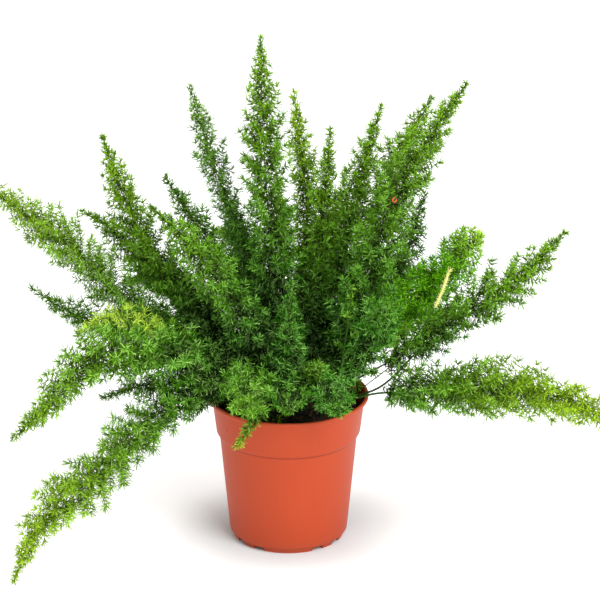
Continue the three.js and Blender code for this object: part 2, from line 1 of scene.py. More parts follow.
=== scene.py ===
# %% [markdown]
# # A foxtail fern in its nursery pot
# A foxtail fern isn't a true fern. It is *Asparagus densiflorus*, and its plumes are stems set all
# round with thin side twigs, which carry small stars of green needles. This notebook dresses a packed
# model of the plant, which already holds every plume, the soil and the pot at their real places and
# sizes. So nothing here is moved to fit: each new piece is made where the imported model says.

# %% The imported model and the bodies that pieces hang from
from collections import namedtuple
import math
import bpy
import numpy as np
from mathutils import Matrix, Vector


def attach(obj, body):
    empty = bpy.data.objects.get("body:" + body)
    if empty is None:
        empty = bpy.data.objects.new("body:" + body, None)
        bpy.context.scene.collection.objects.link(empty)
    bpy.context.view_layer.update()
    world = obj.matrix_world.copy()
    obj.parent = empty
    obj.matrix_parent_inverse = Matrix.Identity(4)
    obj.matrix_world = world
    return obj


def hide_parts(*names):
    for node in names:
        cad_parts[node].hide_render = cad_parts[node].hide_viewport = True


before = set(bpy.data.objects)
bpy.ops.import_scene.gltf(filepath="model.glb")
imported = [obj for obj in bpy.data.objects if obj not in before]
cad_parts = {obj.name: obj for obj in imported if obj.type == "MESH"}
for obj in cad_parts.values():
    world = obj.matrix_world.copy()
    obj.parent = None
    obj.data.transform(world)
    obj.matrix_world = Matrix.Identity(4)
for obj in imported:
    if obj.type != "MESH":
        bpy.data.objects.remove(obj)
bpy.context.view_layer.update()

# %% [markdown]
# ## Units and small helpers
# Blender works in metres, and a plant in its pot is easier to think of in millimetres, so sizes are
# written as millimetres times `MM`. An operator acts on all that is selected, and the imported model
# comes in selected, so every modelling step starts by letting go of everything.

# %% Helpers for modelling
MM = 0.001
FULL_TURN = 2 * math.pi
GOLDEN_ANGLE = math.radians(137.5)


def let_go():
    """Leaves edit mode and deselects everything."""
    if bpy.context.object and bpy.context.object.mode == "EDIT":
        bpy.ops.object.mode_set(mode="OBJECT")
    bpy.ops.object.select_all(action="DESELECT")


def named(name):
    """Names the object that was just added, and its mesh."""
    made = bpy.context.object
    made.name = name
    made.data.name = name
    return made


def apply_modifiers(piece):
    """Makes each modifier's result the mesh itself."""
    let_go()
    bpy.context.view_layer.objects.active = piece
    piece.select_set(True)
    for modifier in list(piece.modifiers):
        bpy.ops.object.modifier_apply(modifier=modifier.name)


def settle(piece):
    """Puts the object's place, turn and size into its mesh, so that the object sits at the origin."""
    let_go()
    bpy.context.view_layer.objects.active = piece
    piece.select_set(True)
    bpy.ops.object.transform_apply(location=True, rotation=True, scale=True)


def select_where(piece, kind, test):
    """In edit mode, selects the vertices or faces whose centre passes the test."""
    bpy.ops.mesh.select_all(action="DESELECT")
    bpy.ops.object.mode_set(mode="OBJECT")
    for part in getattr(piece.data, kind):
        centre = part.co if kind == "vertices" else part.center
        part.select = test(centre)
    bpy.ops.object.mode_set(mode="EDIT")


def triangles(piece):
    """The number of triangles of a finished mesh."""
    return sum(len(face.vertices) - 2 for face in piece.data.polygons)


# %% [markdown]
# ## Camera
# The plant is seen from a little above, as a person looks at a pot on a table, with a long lens that
# keeps the plumes' proportions. The lens is worked out from the width that has to be in view at the
# plant: a wider view at the same distance needs a shorter lens. The pot stands a little left of the
# middle of the view, so the camera is moved to the right by that much.

# %% Camera
PICTURE_WIDTH = 600
PIXEL = 0.926 * MM
POT_AXIS_COLUMN = 288.3
CAMERA_DISTANCE = 4.0
CAMERA_ELEVATION = math.radians(21.5)
AIM_HEIGHT = 234.2 * MM
SENSOR = 36

camera_data = bpy.data.cameras.new("plant_camera")
camera = bpy.data.objects.new("plant_camera", camera_data)
bpy.context.scene.collection.objects.link(camera)
bpy.context.scene.camera = camera
camera_data.sensor_width = SENSOR
camera_data.lens = SENSOR * CAMERA_DISTANCE / (PICTURE_WIDTH * PIXEL)
right = Vector((1, 0, 0))
back = Vector((0, -math.cos(CAMERA_ELEVATION), math.sin(CAMERA_ELEVATION)))
sideways = (PICTURE_WIDTH / 2 - POT_AXIS_COLUMN) * PIXEL
camera.location = Vector((0, 0, AIM_HEIGHT)) + right * sideways + back * CAMERA_DISTANCE
camera.rotation_euler = Matrix((right, back.cross(right), back)).transposed().to_euler()
print("lens in mm:", round(camera_data.lens))

# %% [markdown]
# ## Floor and light
# A white studio sweep gives the plant its clean outline. One large soft lamp stands high on the right
# and in front, which makes the pot lighter on its right side. The white surroundings fill the shadows
# and give the soft edge light on the pot. The Standard view keeps the greens as saturated as they are.

# %% Floor and light
FLOOR_SIZE = 14.0
SURROUNDINGS_STRENGTH = 0.58
KEY_SIZE = 2.2
KEY_PLACE = Vector((1.5, -2.2, 2.7))
KEY_WATTS = 104
TOP_SIZE = 2.2
TOP_PLACE = Vector((-0.5, 0.2, 2.6))
TOP_WATTS = 34

scene = bpy.context.scene
scene.view_settings.view_transform = "Standard"
world = bpy.data.worlds.new("white_studio")
scene.world = world
world.use_nodes = True
surroundings = world.node_tree.nodes["Background"]
surroundings.inputs["Color"].default_value = (1, 1, 1, 1)
surroundings.inputs["Strength"].default_value = SURROUNDINGS_STRENGTH


def add_lamp(name, place, size, watts):
    """A square soft lamp that faces the middle of the plant."""
    data = bpy.data.lights.new(name, "AREA")
    data.size = size
    data.energy = watts
    lamp = bpy.data.objects.new(name, data)
    scene.collection.objects.link(lamp)
    lamp.location = place
    lamp.rotation_euler = (place - Vector((0, 0, AIM_HEIGHT))).to_track_quat("Z", "Y").to_euler()


add_lamp("key_lamp", KEY_PLACE, KEY_SIZE, KEY_WATTS)
add_lamp("top_lamp", TOP_PLACE, TOP_SIZE, TOP_WATTS)

let_go()
bpy.ops.mesh.primitive_plane_add(size=FLOOR_SIZE)
floor = named("floor")
print("lamps:", len(bpy.data.lights))

# %% [markdown]
# ## Building blocks for materials
# Every finish here is a Principled BSDF whose colour, roughness and bump come from noise in object
# coordinates. Two effects are shared by several finishes, so each is a node group that is built once:
# `mottle` gives a broad and a fine mask, and `vary_brightness` makes a colour lighter or darker by a mask.

# %% Shared node groups
class Graph:
    """Short calls for adding nodes to a tree and linking them."""

    def __init__(self, tree):
        self.tree = tree

    def node(self, kind, **settings):
        made = self.tree.nodes.new(kind)
        for name, value in settings.items():
            setattr(made, name, value)
        return made

    def put(self, value, socket):
        """Links a socket, or sets a plain value."""
        if isinstance(value, bpy.types.NodeSocket):
            self.tree.links.new(value, socket)
        else:
            socket.default_value = value

    def maths(self, operation, first, second=0.0, clamp=False):
        made = self.node("ShaderNodeMath", operation=operation, use_clamp=clamp)
        self.put(first, made.inputs[0])
        self.put(second, made.inputs[1])
        return made.outputs[0]

    def ramp(self, value, stops):
        """Maps a value through colour stops of (place, colour)."""
        made = self.node("ShaderNodeValToRGB")
        band = made.color_ramp
        while len(band.elements) < len(stops):
            band.elements.new(0.5)
        for element, (place, colour) in zip(band.elements, stops):
            element.position = place
            element.color = colour
        self.put(value, made.inputs["Fac"])
        return made.outputs["Color"]

    def mix(self, share, first, second, blend="MIX"):
        made = self.node("ShaderNodeMix", data_type="RGBA", blend_type=blend)
        self.put(share, made.inputs["Factor"])
        self.put(first, made.inputs["A"])
        self.put(second, made.inputs["B"])
        return made.outputs["Result"]

    def noise(self, place, scale, detail=3.0, rough=0.55):
        made = self.node("ShaderNodeTexNoise")
        self.put(place, made.inputs["Vector"])
        self.put(scale, made.inputs["Scale"])
        self.put(detail, made.inputs["Detail"])
        self.put(rough, made.inputs["Roughness"])
        return made.outputs["Fac"]

    def span(self, value, low, high, to_low=0.0, to_high=1.0, smooth=False):
        """Maps the values from low to high onto those from to_low to to_high, and holds the rest."""
        made = self.node("ShaderNodeMapRange", interpolation_type="SMOOTHSTEP" if smooth else "LINEAR")
        limits = {"Value": value, "From Min": low, "From Max": high, "To Min": to_low, "To Max": to_high}
        for socket, limit in limits.items():
            self.put(limit, made.inputs[socket])
        return made.outputs[0]


def new_group(name, inputs, outputs):
    """An empty node group with named sockets."""
    tree = bpy.data.node_groups.new(name, "ShaderNodeTree")
    for socket, kind in inputs:
        tree.interface.new_socket(socket, in_out="INPUT", socket_type=kind)
    for socket, kind in outputs:
        tree.interface.new_socket(socket, in_out="OUTPUT", socket_type=kind)
    graph = Graph(tree)
    return graph, graph.node("NodeGroupInput"), graph.node("NodeGroupOutput")


mottle_graph, mottle_in, mottle_out = new_group(
    "mottle",
    [("Vector", "NodeSocketVector"), ("Broad Scale", "NodeSocketFloat"), ("Fine Scale", "NodeSocketFloat")],
    [("Broad", "NodeSocketFloat"), ("Fine", "NodeSocketFloat"), ("Both", "NodeSocketFloat")],
)
broad = mottle_graph.noise(mottle_in.outputs["Vector"], mottle_in.outputs["Broad Scale"])
fine = mottle_graph.noise(mottle_in.outputs["Vector"], mottle_in.outputs["Fine Scale"], detail=2.0)
mottle_graph.put(broad, mottle_out.inputs["Broad"])
mottle_graph.put(fine, mottle_out.inputs["Fine"])
mottle_graph.put(mottle_graph.maths("MULTIPLY", broad, fine), mottle_out.inputs["Both"])

shade_graph, shade_in, shade_out = new_group(
    "vary_brightness",
    [("Color", "NodeSocketColor"), ("Mask", "NodeSocketFloat"), ("Amount", "NodeSocketFloat")],
    [("Color", "NodeSocketColor")],
)
centred = shade_graph.maths("SUBTRACT", shade_in.outputs["Mask"], 0.5)
change = shade_graph.maths("MULTIPLY_ADD", centred, shade_in.outputs["Amount"])
change.node.inputs[2].default_value = 1.0
brighter = shade_graph.node("ShaderNodeVectorMath", operation="SCALE")
shade_graph.put(shade_in.outputs["Color"], brighter.inputs[0])
shade_graph.put(change, brighter.inputs["Scale"])
shade_graph.put(brighter.outputs[0], shade_out.inputs["Color"])
print("node groups:", [group.name for group in bpy.data.node_groups])

# %% [markdown]
# ## A material maker
# A new material starts with a Principled BSDF. Numbers that are the same all over the surface are set
# on its own sockets. Colours are written as the eye sees them, in sRGB from 0 to 255, and turned into
# the linear values that the shader works in.

# %% A material maker
def seen(red, green, blue):
    """A colour as seen, 0 to 255, in the linear values of a shader."""
    def linear(part):
        share = part / 255
        return share / 12.92 if share <= 0.04045 else ((share + 0.055) / 1.055) ** 2.4
    return (linear(red), linear(green), linear(blue), 1)


def new_material(name, **plain):
    """A material, its graph, its Principled node and its object coordinates."""
    material = bpy.data.materials.new(name)
    material.use_nodes = True
    graph = Graph(material.node_tree)
    shader = material.node_tree.nodes["Principled BSDF"]
    for socket, value in plain.items():
        shader.inputs[socket.replace("_", " ")].default_value = value
    place = graph.node("ShaderNodeTexCoord").outputs["Object"]
    return material, graph, shader, place


def add_mottle(graph, place, broad_scale, fine_scale):
    """The masks Broad, Fine and Both, with so many grains to a metre."""
    made = graph.node("ShaderNodeGroup", node_tree=bpy.data.node_groups["mottle"])
    graph.put(place, made.inputs["Vector"])
    graph.put(broad_scale, made.inputs["Broad Scale"])
    graph.put(fine_scale, made.inputs["Fine Scale"])
    return made.outputs


def vary_brightness(graph, colour, mask, amount):
    """The colour made lighter and darker by half the amount where the mask is 1 and 0."""
    made = graph.node("ShaderNodeGroup", node_tree=bpy.data.node_groups["vary_brightness"])
    graph.put(colour, made.inputs["Color"])
    graph.put(mask, made.inputs["Mask"])
    graph.put(amount, made.inputs["Amount"])
    return made.outputs["Color"]


def add_bump(graph, shader, height, strength, distance):
    """Small relief from a height mask, up to a distance in metres."""
    bump = graph.node("ShaderNodeBump")
    graph.put(height, bump.inputs["Height"])
    bump.inputs["Strength"].default_value = strength
    bump.inputs["Distance"].default_value = distance
    graph.put(bump.outputs["Normal"], shader.inputs["Normal"])


def give(piece, material):
    """Makes a material the only one of a piece."""
    piece.data.materials.clear()
    piece.data.materials.append(material)


print("middle grey in linear values:", round(seen(128, 128, 128)[0], 3))

# %% [markdown]
# ## Studio paper
# The sweep is white paper. Close to the pot it doesn't glow, so that the soft shadow shows, and there it
# carries a painted shade, a little darker and cooler, which also cancels the pot's reddish bounce. Further
# off it glows a little, which keeps the background clean and white. A Principled BSDF glows by its
# Emission sockets, and the distance from the pot's axis fades the glow in and the painted shade out.

# %% Studio paper
PAPER_TONES = (seen(250, 250, 250), seen(246, 246, 246))
# painted shade near the pot: a little darker and cooler paper, which also cancels the pot's reddish bounce
PAINTED_SHADE_NEAR_POT = seen(236, 245, 248)
FLOOR_GLOW = 0.34
GLOW_FROM, GLOW_TO = 54 * MM, 135 * MM

studio_paper, graph, shader, place = new_material("studio_floor", Roughness=0.9)
masks = add_mottle(graph, place, broad_scale=1.5, fine_scale=220)
paper = graph.mix(masks["Broad"], *PAPER_TONES)
distance = graph.node("ShaderNodeVectorMath", operation="LENGTH")
graph.put(place, distance.inputs[0])
away = graph.span(distance.outputs["Value"], GLOW_FROM, GLOW_TO, smooth=True)
# Near the pot the paper takes its painted shade, further off it turns to plain paper
graph.put(graph.mix(away, PAINTED_SHADE_NEAR_POT, paper), shader.inputs["Base Color"])
shader.inputs["Emission Color"].default_value = (1, 1, 1, 1)
graph.put(graph.maths("MULTIPLY", away, FLOOR_GLOW), shader.inputs["Emission Strength"])
give(floor, studio_paper)
print("paper nodes:", len(studio_paper.node_tree.nodes))

# %% [markdown]
# ## Pot plastic
# The pot is injection moulded in terracotta-coloured plastic. It has a soft satin shine, a colour that
# drifts a little from place to place, a fine grain and faint upright drag marks from the mould. The lip
# is rubbed paler, a painted shade darkens the step under the band's overhang, and dust greys the foot.

# %% Pot plastic
POT_HEIGHT = 141
BAND_BOTTOM = 105.5
BODY_TOP = 101
POT_TONES = (seen(182, 68, 35), seen(190, 74, 40))
RUBBED_TONE = seen(208, 96, 58)
# painted shade along the step under the band
STEP_SHADE_TONE = seen(130, 40, 18)
DUST_TONE = seen(170, 92, 66)
GRAIN_DEPTH, DRAG_DEPTH = 0.10, 0.07
DRAG_SCALE = 260
DRAG_STRETCH = (1, 1, 0.06)
EDGE_REACH = 1.6 * MM
DUST_REACH = 14 * MM
DUST_SCALE = 70
LIP_WEAR, STEP_SHADE_DEPTH, FOOT_DUST = 0.9, 0.7, 0.5
SATIN_ROUGHNESS = (0.40, 0.56)

plastic, graph, shader, place = new_material("terracotta_plastic", Specular_IOR_Level=0.18)
masks = add_mottle(graph, place, broad_scale=14, fine_scale=900)
body = graph.mix(masks["Broad"], *POT_TONES)
body = vary_brightness(graph, body, masks["Fine"], GRAIN_DEPTH)
upright = graph.node("ShaderNodeMapping")
graph.put(place, upright.inputs["Vector"])
upright.inputs["Scale"].default_value = DRAG_STRETCH
drag = graph.noise(upright.outputs[0], DRAG_SCALE, detail=2.0)
body = vary_brightness(graph, body, drag, DRAG_DEPTH)
height = graph.node("ShaderNodeSeparateXYZ")
graph.put(place, height.inputs[0])


def near_height(level, reach):
    """A mask that is 1 at a height and falls to 0 at a distance from it."""
    off = graph.maths("ABSOLUTE", graph.maths("SUBTRACT", height.outputs["Z"], level))
    return graph.maths("SUBTRACT", 1.0, graph.maths("DIVIDE", off, reach), clamp=True)


lip_edge = near_height(POT_HEIGHT * MM, EDGE_REACH)
worn = graph.maths("MULTIPLY", lip_edge, graph.maths("MULTIPLY", masks["Broad"], LIP_WEAR), clamp=True)
body = graph.mix(worn, body, RUBBED_TONE)
# Painted shade: the step under the band's overhang is darkened, where its shadow falls.
step = near_height((BODY_TOP + 1) * MM, EDGE_REACH)
body = graph.mix(graph.maths("MULTIPLY", step, STEP_SHADE_DEPTH), body, STEP_SHADE_TONE)
dusty = graph.maths("MULTIPLY", near_height(0, DUST_REACH), graph.noise(place, DUST_SCALE), clamp=True)
body = graph.mix(graph.maths("MULTIPLY", dusty, FOOT_DUST), body, DUST_TONE)
graph.put(body, shader.inputs["Base Color"])
graph.put(graph.span(masks["Both"], 0, 0.5, *SATIN_ROUGHNESS), shader.inputs["Roughness"])
add_bump(graph, shader, graph.maths("ADD", masks["Fine"], drag), strength=0.12, distance=0.2 * MM)
print("plastic nodes:", len(plastic.node_tree.nodes))

# %% [markdown]
# ## Potting soil
# Moist peat is almost black, with reddish bark and a few pale fibres. The soil and its crumbs share one
# material, and noise in object coordinates gives neighbouring crumbs different browns.

# %% Potting soil
PEAT_TONES = [  # place in the mask, and colour
    (0.35, seen(16, 11, 8)),
    (0.52, seen(38, 25, 17)),
    (0.66, seen(84, 50, 32)),
    (0.78, seen(116, 76, 50)),
]
PEAT_CONTRAST = 0.9

soil_finish, graph, shader, place = new_material("moist_peat", Roughness=0.92, Specular_IOR_Level=0.3)
masks = add_mottle(graph, place, broad_scale=120, fine_scale=1400)
peat = graph.ramp(masks["Broad"], PEAT_TONES)
peat = vary_brightness(graph, peat, masks["Fine"], PEAT_CONTRAST)
graph.put(peat, shader.inputs["Base Color"])
add_bump(graph, shader, masks["Fine"], strength=0.6, distance=0.5 * MM)
print("soil nodes:", len(soil_finish.node_tree.nodes))

# %% [markdown]
# ## Green finishes
# A plume's own mesh carries four numbers at each vertex, in an attribute called `growth`: how much light
# the vertex gets, how young its twig is, a chance value of its own, and how far along its needle it lies.
# The light is painted into the colour: needles deep in a plume, or where plumes crowd together, get a
# painted shade. Young needles near the tip are lighter and yellower where light is painted, some older
# ones carry a pale painted glint, and every needle has a painted shade at its root, where a star's
# needles meet. Each tone is the same graph with its own colours. Stem and twigs share it: they are green
# too, and the little light that they are given paints them in shade.

# %% Tones of the needles
GROWTH = "growth"
NEEDLE_TONES = {  # deep inside in painted shade, usual, young, and a painted glint
    "dark": (seen(12, 42, 4), seen(60, 122, 15), seen(108, 158, 26), seen(138, 176, 96)),
    "mid": (seen(10, 46, 4), seen(63, 138, 12), seen(148, 196, 32), seen(148, 193, 102)),
    "bright": (seen(20, 67, 5), seen(80, 150, 13), seen(170, 204, 44), seen(174, 214, 116)),
    "yellow": (seen(34, 98, 4), seen(98, 176, 8), seen(196, 226, 82), seen(190, 226, 84)),
}
YOUTH_SPANS = {"dark": (0.3, 1.3), "mid": (0.3, 1.0), "bright": (0.3, 1.05), "yellow": (0.72, 1.0)}
NEEDLE_SHINE = {"dark": 0.10, "mid": 0.08, "bright": 0.06, "yellow": 0.06}
# how deep the painted shade at each needle's root is
ROOT_PAINTED_SHADE = {"dark": 0.6, "mid": 0.55, "bright": 0.3, "yellow": 0.1}
print("tones:", list(NEEDLE_TONES))

# %% Needle finishes
DEEP_UP_TO, USUAL_FROM = 0.12, 0.7
LEAST_YOUNG = 0.25
# where a needle's chance gives it a painted glint, and the most it gets
GLINT_SPAN = (0.45, 0.9)
MOST_GLINT = 0.8
NEEDLE_VARIETY = {"chance": 1.4, "broad": 0.5, "fine": 0.3}


def growth_of(graph):
    """The four numbers of the growth attribute: light, youth, chance and along."""
    attribute = graph.node("ShaderNodeAttribute", attribute_name=GROWTH)
    parts = graph.node("ShaderNodeSeparateColor")
    graph.put(attribute.outputs["Color"], parts.inputs[0])
    return parts.outputs["Red"], parts.outputs["Green"], parts.outputs["Blue"], attribute.outputs["Alpha"]


def needle_finish(tone):
    """The green of a tone, with its painted shade and a painted glint."""
    deep, usual, young, glint_tone = NEEDLE_TONES[tone]
    material, graph, shader, place = new_material(
        "needles_" + tone, Roughness=0.42, Specular_IOR_Level=NEEDLE_SHINE[tone])
    light, youth, chance, along = growth_of(graph)
    masks = add_mottle(graph, place, broad_scale=45, fine_scale=1600)
    # Painted shade from the light attribute: needles deep in a plume and where plumes crowd turn to the
    # deep tone, and the young colour shows only as far as light is painted.
    green = graph.ramp(light, [(DEEP_UP_TO, deep), (USUAL_FROM, usual)])
    lit = graph.maths("ADD", light, LEAST_YOUNG, clamp=True)
    tender = graph.maths("MULTIPLY", graph.span(youth, *YOUTH_SPANS[tone]), lit, clamp=True)
    green = graph.mix(tender, green, young)
    # Painted shade at each needle's root, where the needles of a star meet.
    rootward = graph.maths("SUBTRACT", 1.0, along, clamp=True)
    green = graph.mix(graph.maths("MULTIPLY", rootward, ROOT_PAINTED_SHADE[tone]), green, deep)
    # A painted glint: some older needles turn pale, as if they caught the light.
    glint = graph.span(chance, *GLINT_SPAN, to_high=MOST_GLINT)
    older = graph.maths("SUBTRACT", 1.0, youth, clamp=True)
    green = graph.mix(graph.maths("MULTIPLY", glint, older), green, glint_tone)
    green = vary_brightness(graph, green, chance, NEEDLE_VARIETY["chance"])
    green = vary_brightness(graph, green, masks["Broad"], NEEDLE_VARIETY["broad"])
    green = vary_brightness(graph, green, masks["Fine"], NEEDLE_VARIETY["fine"])
    graph.put(green, shader.inputs["Base Color"])
    add_bump(graph, shader, masks["Fine"], strength=0.25, distance=0.1 * MM)
    return material


needle_finishes = {tone: needle_finish(tone) for tone in NEEDLE_TONES}
print("green finishes:", len(needle_finishes))

# %% [markdown]
# ## The pot
# A moulded pot is a wall of revolution, so it could be spun from its outline. Here the same thing is
# done ring by ring, as a potter raises a wall: a circle at the middle of the underside is extruded and
# scaled from ring to ring, out over the foot, up the wall, over the lip and down the inside. The
# corners of the outline are rounded, because moulded plastic has no sharp edge.

# %% Outline of the pot
POT_STEPS = 128
POT_OUTLINE = [  # radius, height and corner radius, in millimetres
    (3.0, 3.5, 0.0),
    (46.0, 3.5, 0.6),
    (46.0, 0.0, 0.4),
    (51.6, 0.0, 0.5),
    (52.2, 3.4, 0.5),
    (55.2, 6.4, 1.6),
    (64.4, BODY_TOP, 1.0),
    (67.4, BAND_BOTTOM, 1.4),
    (71.2, POT_HEIGHT - 5.4, 3.0),
    (75.0, POT_HEIGHT - 3, 1.0),
    (75.0, POT_HEIGHT, 1.3),
    (72.2, POT_HEIGHT, 1.2),
    (69.6, POT_HEIGHT - 6, 1.5),
    (65.8, BAND_BOTTOM, 0.8),
    (62.8, BODY_TOP, 0.8),
    (53.4, 5.5, 2.0),
    (3.0, 5.5, 0.0),
]
ROUNDING_STEPS = 3
MOST_OF_A_SIDE = 0.45


def rounded(outline):
    """The outline with each corner replaced by an arc that touches both of its sides."""
    points = []
    for index, (radius, height, round_by) in enumerate(outline):
        corner = Vector((radius, height))
        if round_by == 0:
            points.append(corner)
            continue
        before = Vector(outline[index - 1][:2]) - corner
        after = Vector(outline[index + 1][:2]) - corner
        half = before.angle(after) / 2
        shorter_side = min(before.length, after.length)
        reach = min(round_by / math.tan(half), MOST_OF_A_SIDE * shorter_side)
        start = corner + before.normalized() * reach
        end = corner + after.normalized() * reach
        for step in range(ROUNDING_STEPS + 1):
            share = step / ROUNDING_STEPS
            points.append((1 - share) ** 2 * start + 2 * share * (1 - share) * corner + share ** 2 * end)
    return points


pot_rings = rounded(POT_OUTLINE)
print("rings in the pot's outline:", len(pot_rings))

# %% Raise the wall ring by ring
def raise_rings(name, rings, steps):
    """Extrudes and scales a circle through rings of (radius, height) in mm, and closes both ends."""
    let_go()
    first = rings[0]
    bpy.ops.mesh.primitive_circle_add(vertices=steps, radius=first[0] * MM, location=(0, 0, first[1] * MM))
    wall = named(name)
    settle(wall)
    bpy.ops.object.mode_set(mode="EDIT")
    bpy.ops.mesh.select_all(action="SELECT")
    for before, ring in zip(rings, rings[1:]):
        rise = (0, 0, (ring[1] - before[1]) * MM)
        bpy.ops.mesh.extrude_region_move(TRANSFORM_OT_translate={"value": rise})
        grow = ring[0] / before[0]
        centre = (0, 0, ring[1] * MM)
        bpy.ops.transform.resize(value=(grow, grow, 1), center_override=centre)
    bpy.ops.mesh.select_all(action="SELECT")
    bpy.ops.mesh.fill_holes(sides=0)
    bpy.ops.mesh.normals_make_consistent(inside=False)
    let_go()
    return wall


pot = raise_rings("moulded_pot", pot_rings, POT_STEPS)
print("pot wall triangles:", triangles(pot))

# %% [markdown]
# ### Notches and drainage holes
# The foot ring has four pairs of notches that let water run out, with a drainage hole above each. The
# cutter is one block with rounded edges and one pin, copied round the pot, and a Boolean modifier cuts
# them all at once.

# %% Cut the notches and holes
NOTCH_PAIR_ANGLES = (45, 135, 225, 315)
NOTCH_OFFSET_ANGLE = 13
NOTCH_WIDTH = 11 * MM
NOTCH_HEIGHT = 3.2 * MM
FOOT_MIDDLE_RADIUS = 49 * MM
NOTCH_LENGTH = 14 * MM
DRAIN_RING_RADIUS = 40 * MM
DRAIN_RADIUS = 4.5 * MM
DRAIN_SIDES = 24
PIN_LENGTH, PIN_MIDDLE = 10 * MM, 6 * MM
BLOCK_ROUNDING = 0.5 * MM
POT_CREASE = math.radians(32)

let_go()
bpy.ops.mesh.primitive_cube_add(size=1, location=(FOOT_MIDDLE_RADIUS, 0, 0))
block = named("notch_block")
bpy.ops.object.mode_set(mode="EDIT")
bpy.ops.transform.resize(value=(NOTCH_LENGTH, NOTCH_WIDTH, 2 * NOTCH_HEIGHT))
bpy.ops.mesh.bevel(offset=BLOCK_ROUNDING, segments=3, affect="EDGES")
bpy.ops.object.mode_set(mode="OBJECT")
let_go()
bpy.ops.mesh.primitive_cylinder_add(vertices=DRAIN_SIDES, radius=DRAIN_RADIUS, depth=PIN_LENGTH,
                                    location=(DRAIN_RING_RADIUS, 0, PIN_MIDDLE))
pin = named("drain_pin")
cutters = []
for pair in NOTCH_PAIR_ANGLES:
    for side in (-1, 1):
        angle = math.radians(pair + side * NOTCH_OFFSET_ANGLE)
        for model in (block, pin):
            copy = model.copy()
            copy.data = model.data.copy()
            scene.collection.objects.link(copy)
            copy.matrix_world = Matrix.Rotation(angle, 4, "Z") @ model.matrix_world
            cutters.append(copy)
let_go()
for cutter in cutters:
    cutter.select_set(True)
bpy.context.view_layer.objects.active = cutters[0]
bpy.ops.object.join()
cutter = bpy.context.object
cut = pot.modifiers.new("notches", "BOOLEAN")
cut.object = cutter
cut.operation = "DIFFERENCE"
cut.solver = "EXACT"
apply_modifiers(pot)
for spent in (cutter, block, pin):
    bpy.data.objects.remove(spent)
settle(pot)
bpy.ops.object.shade_smooth_by_angle(angle=POT_CREASE)
give(pot, plastic)
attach(pot, "root")
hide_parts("pot")
print("pot triangles:", triangles(pot))

# %% [markdown]
# ## The soil
# The soil fills the pot to a little below the lip. Its plug is raised ring by ring like the pot, and a
# Displace modifier with a cloud texture gives the top its lumps. Then crumbs, bark chips and fibres are
# strewn on it. Each is one small shape, modelled once and copied with its own size and turn.

# %% Soil plug
SOIL_LEVEL = 125.0
SOIL_STEPS = 84
SOIL_EDGE = 67.9
SOIL_SIDE = [  # radius and height, in millimetres
    (4, 5.8), (53.0, 5.8), (62.4, BODY_TOP), (65.4, BAND_BOTTOM), (SOIL_EDGE, SOIL_LEVEL - 1),
]
TOP_RINGS = np.linspace(SOIL_EDGE - 1.5, 1.2, 30)
LUMPS_WITHIN = 65
SOIL_LUMPS = ((11, 3.6), (3.2, 1.62))  # breadth and height, in millimetres
SOIL_CREASE = math.radians(60)

soil = raise_rings("potting_soil", SOIL_SIDE + [(radius, SOIL_LEVEL) for radius in TOP_RINGS], SOIL_STEPS)
top = soil.vertex_groups.new(name="top")
corners = [(v.index, v.co / MM) for v in soil.data.vertices]
inner = [index for index, co in corners if co.z > SOIL_LEVEL - 0.5 and co.xy.length < LUMPS_WITHIN]
top.add(inner, 1.0, "REPLACE")
for breadth, height in SOIL_LUMPS:
    clouds = bpy.data.textures.new("lumps", "CLOUDS")
    clouds.noise_scale = breadth * MM
    lumps = soil.modifiers.new("lumps", "DISPLACE")
    lumps.texture = clouds
    lumps.strength = height * MM
    lumps.direction = "Z"
    lumps.vertex_group = "top"
apply_modifiers(soil)
bpy.ops.object.shade_smooth_by_angle(angle=SOIL_CREASE)
print("soil plug triangles:", triangles(soil))

# %% [markdown]
# ## Copies with their own meshes
# The plant repeats a few small shapes many thousands of times. Each is modelled once, and its vertices
# and faces are kept as arrays. A batch of copies is then one array sum, and each batch goes into the
# mesh of the piece it belongs to, so no copy shares its mesh with another piece. Needles and crumbs
# keep flat faces, and stems and twigs are shaded smooth.

# %% Take a model as arrays, and build a mesh from batches
FLAT, SMOOTH = False, True


def as_arrays(model):
    """A model's vertices in metres and its triangles. The model is used up."""
    mesh = model.data
    mesh.calc_loop_triangles()
    points = np.array([v.co[:] for v in mesh.vertices])
    faces = np.array([t.vertices[:] for t in mesh.loop_triangles])
    bpy.data.objects.remove(model)
    return points, faces


def unit(vectors):
    """The vectors at a length of 1."""
    return vectors / np.maximum(np.linalg.norm(vectors, axis=-1, keepdims=True), 1e-12)


def square_to(directions, hint):
    """Two unit vectors square to each direction, the first as near the hint as can be."""
    first = hint - np.sum(hint * directions, axis=-1, keepdims=True) * directions
    first = unit(first)
    return first, np.cross(directions, first)


def turned(first, second, angle):
    """The first direction turned toward the second, which is square to it, by an angle."""
    return first * np.cos(angle)[..., None] + second * np.sin(angle)[..., None]


def joined(batches):
    """Stacks (points, faces, growth, shading) batches into one set of arrays."""
    points, faces, growths, shadings = [], [], [], []
    start = 0
    for batch_points, batch_faces, batch_growth, shading in batches:
        points.append(batch_points)
        faces.append(batch_faces + start)
        growths.append(batch_growth)
        shadings.append(np.full(len(batch_faces), shading))
        start += len(batch_points)
    return [np.concatenate(parts) for parts in (points, faces, growths, shadings)]


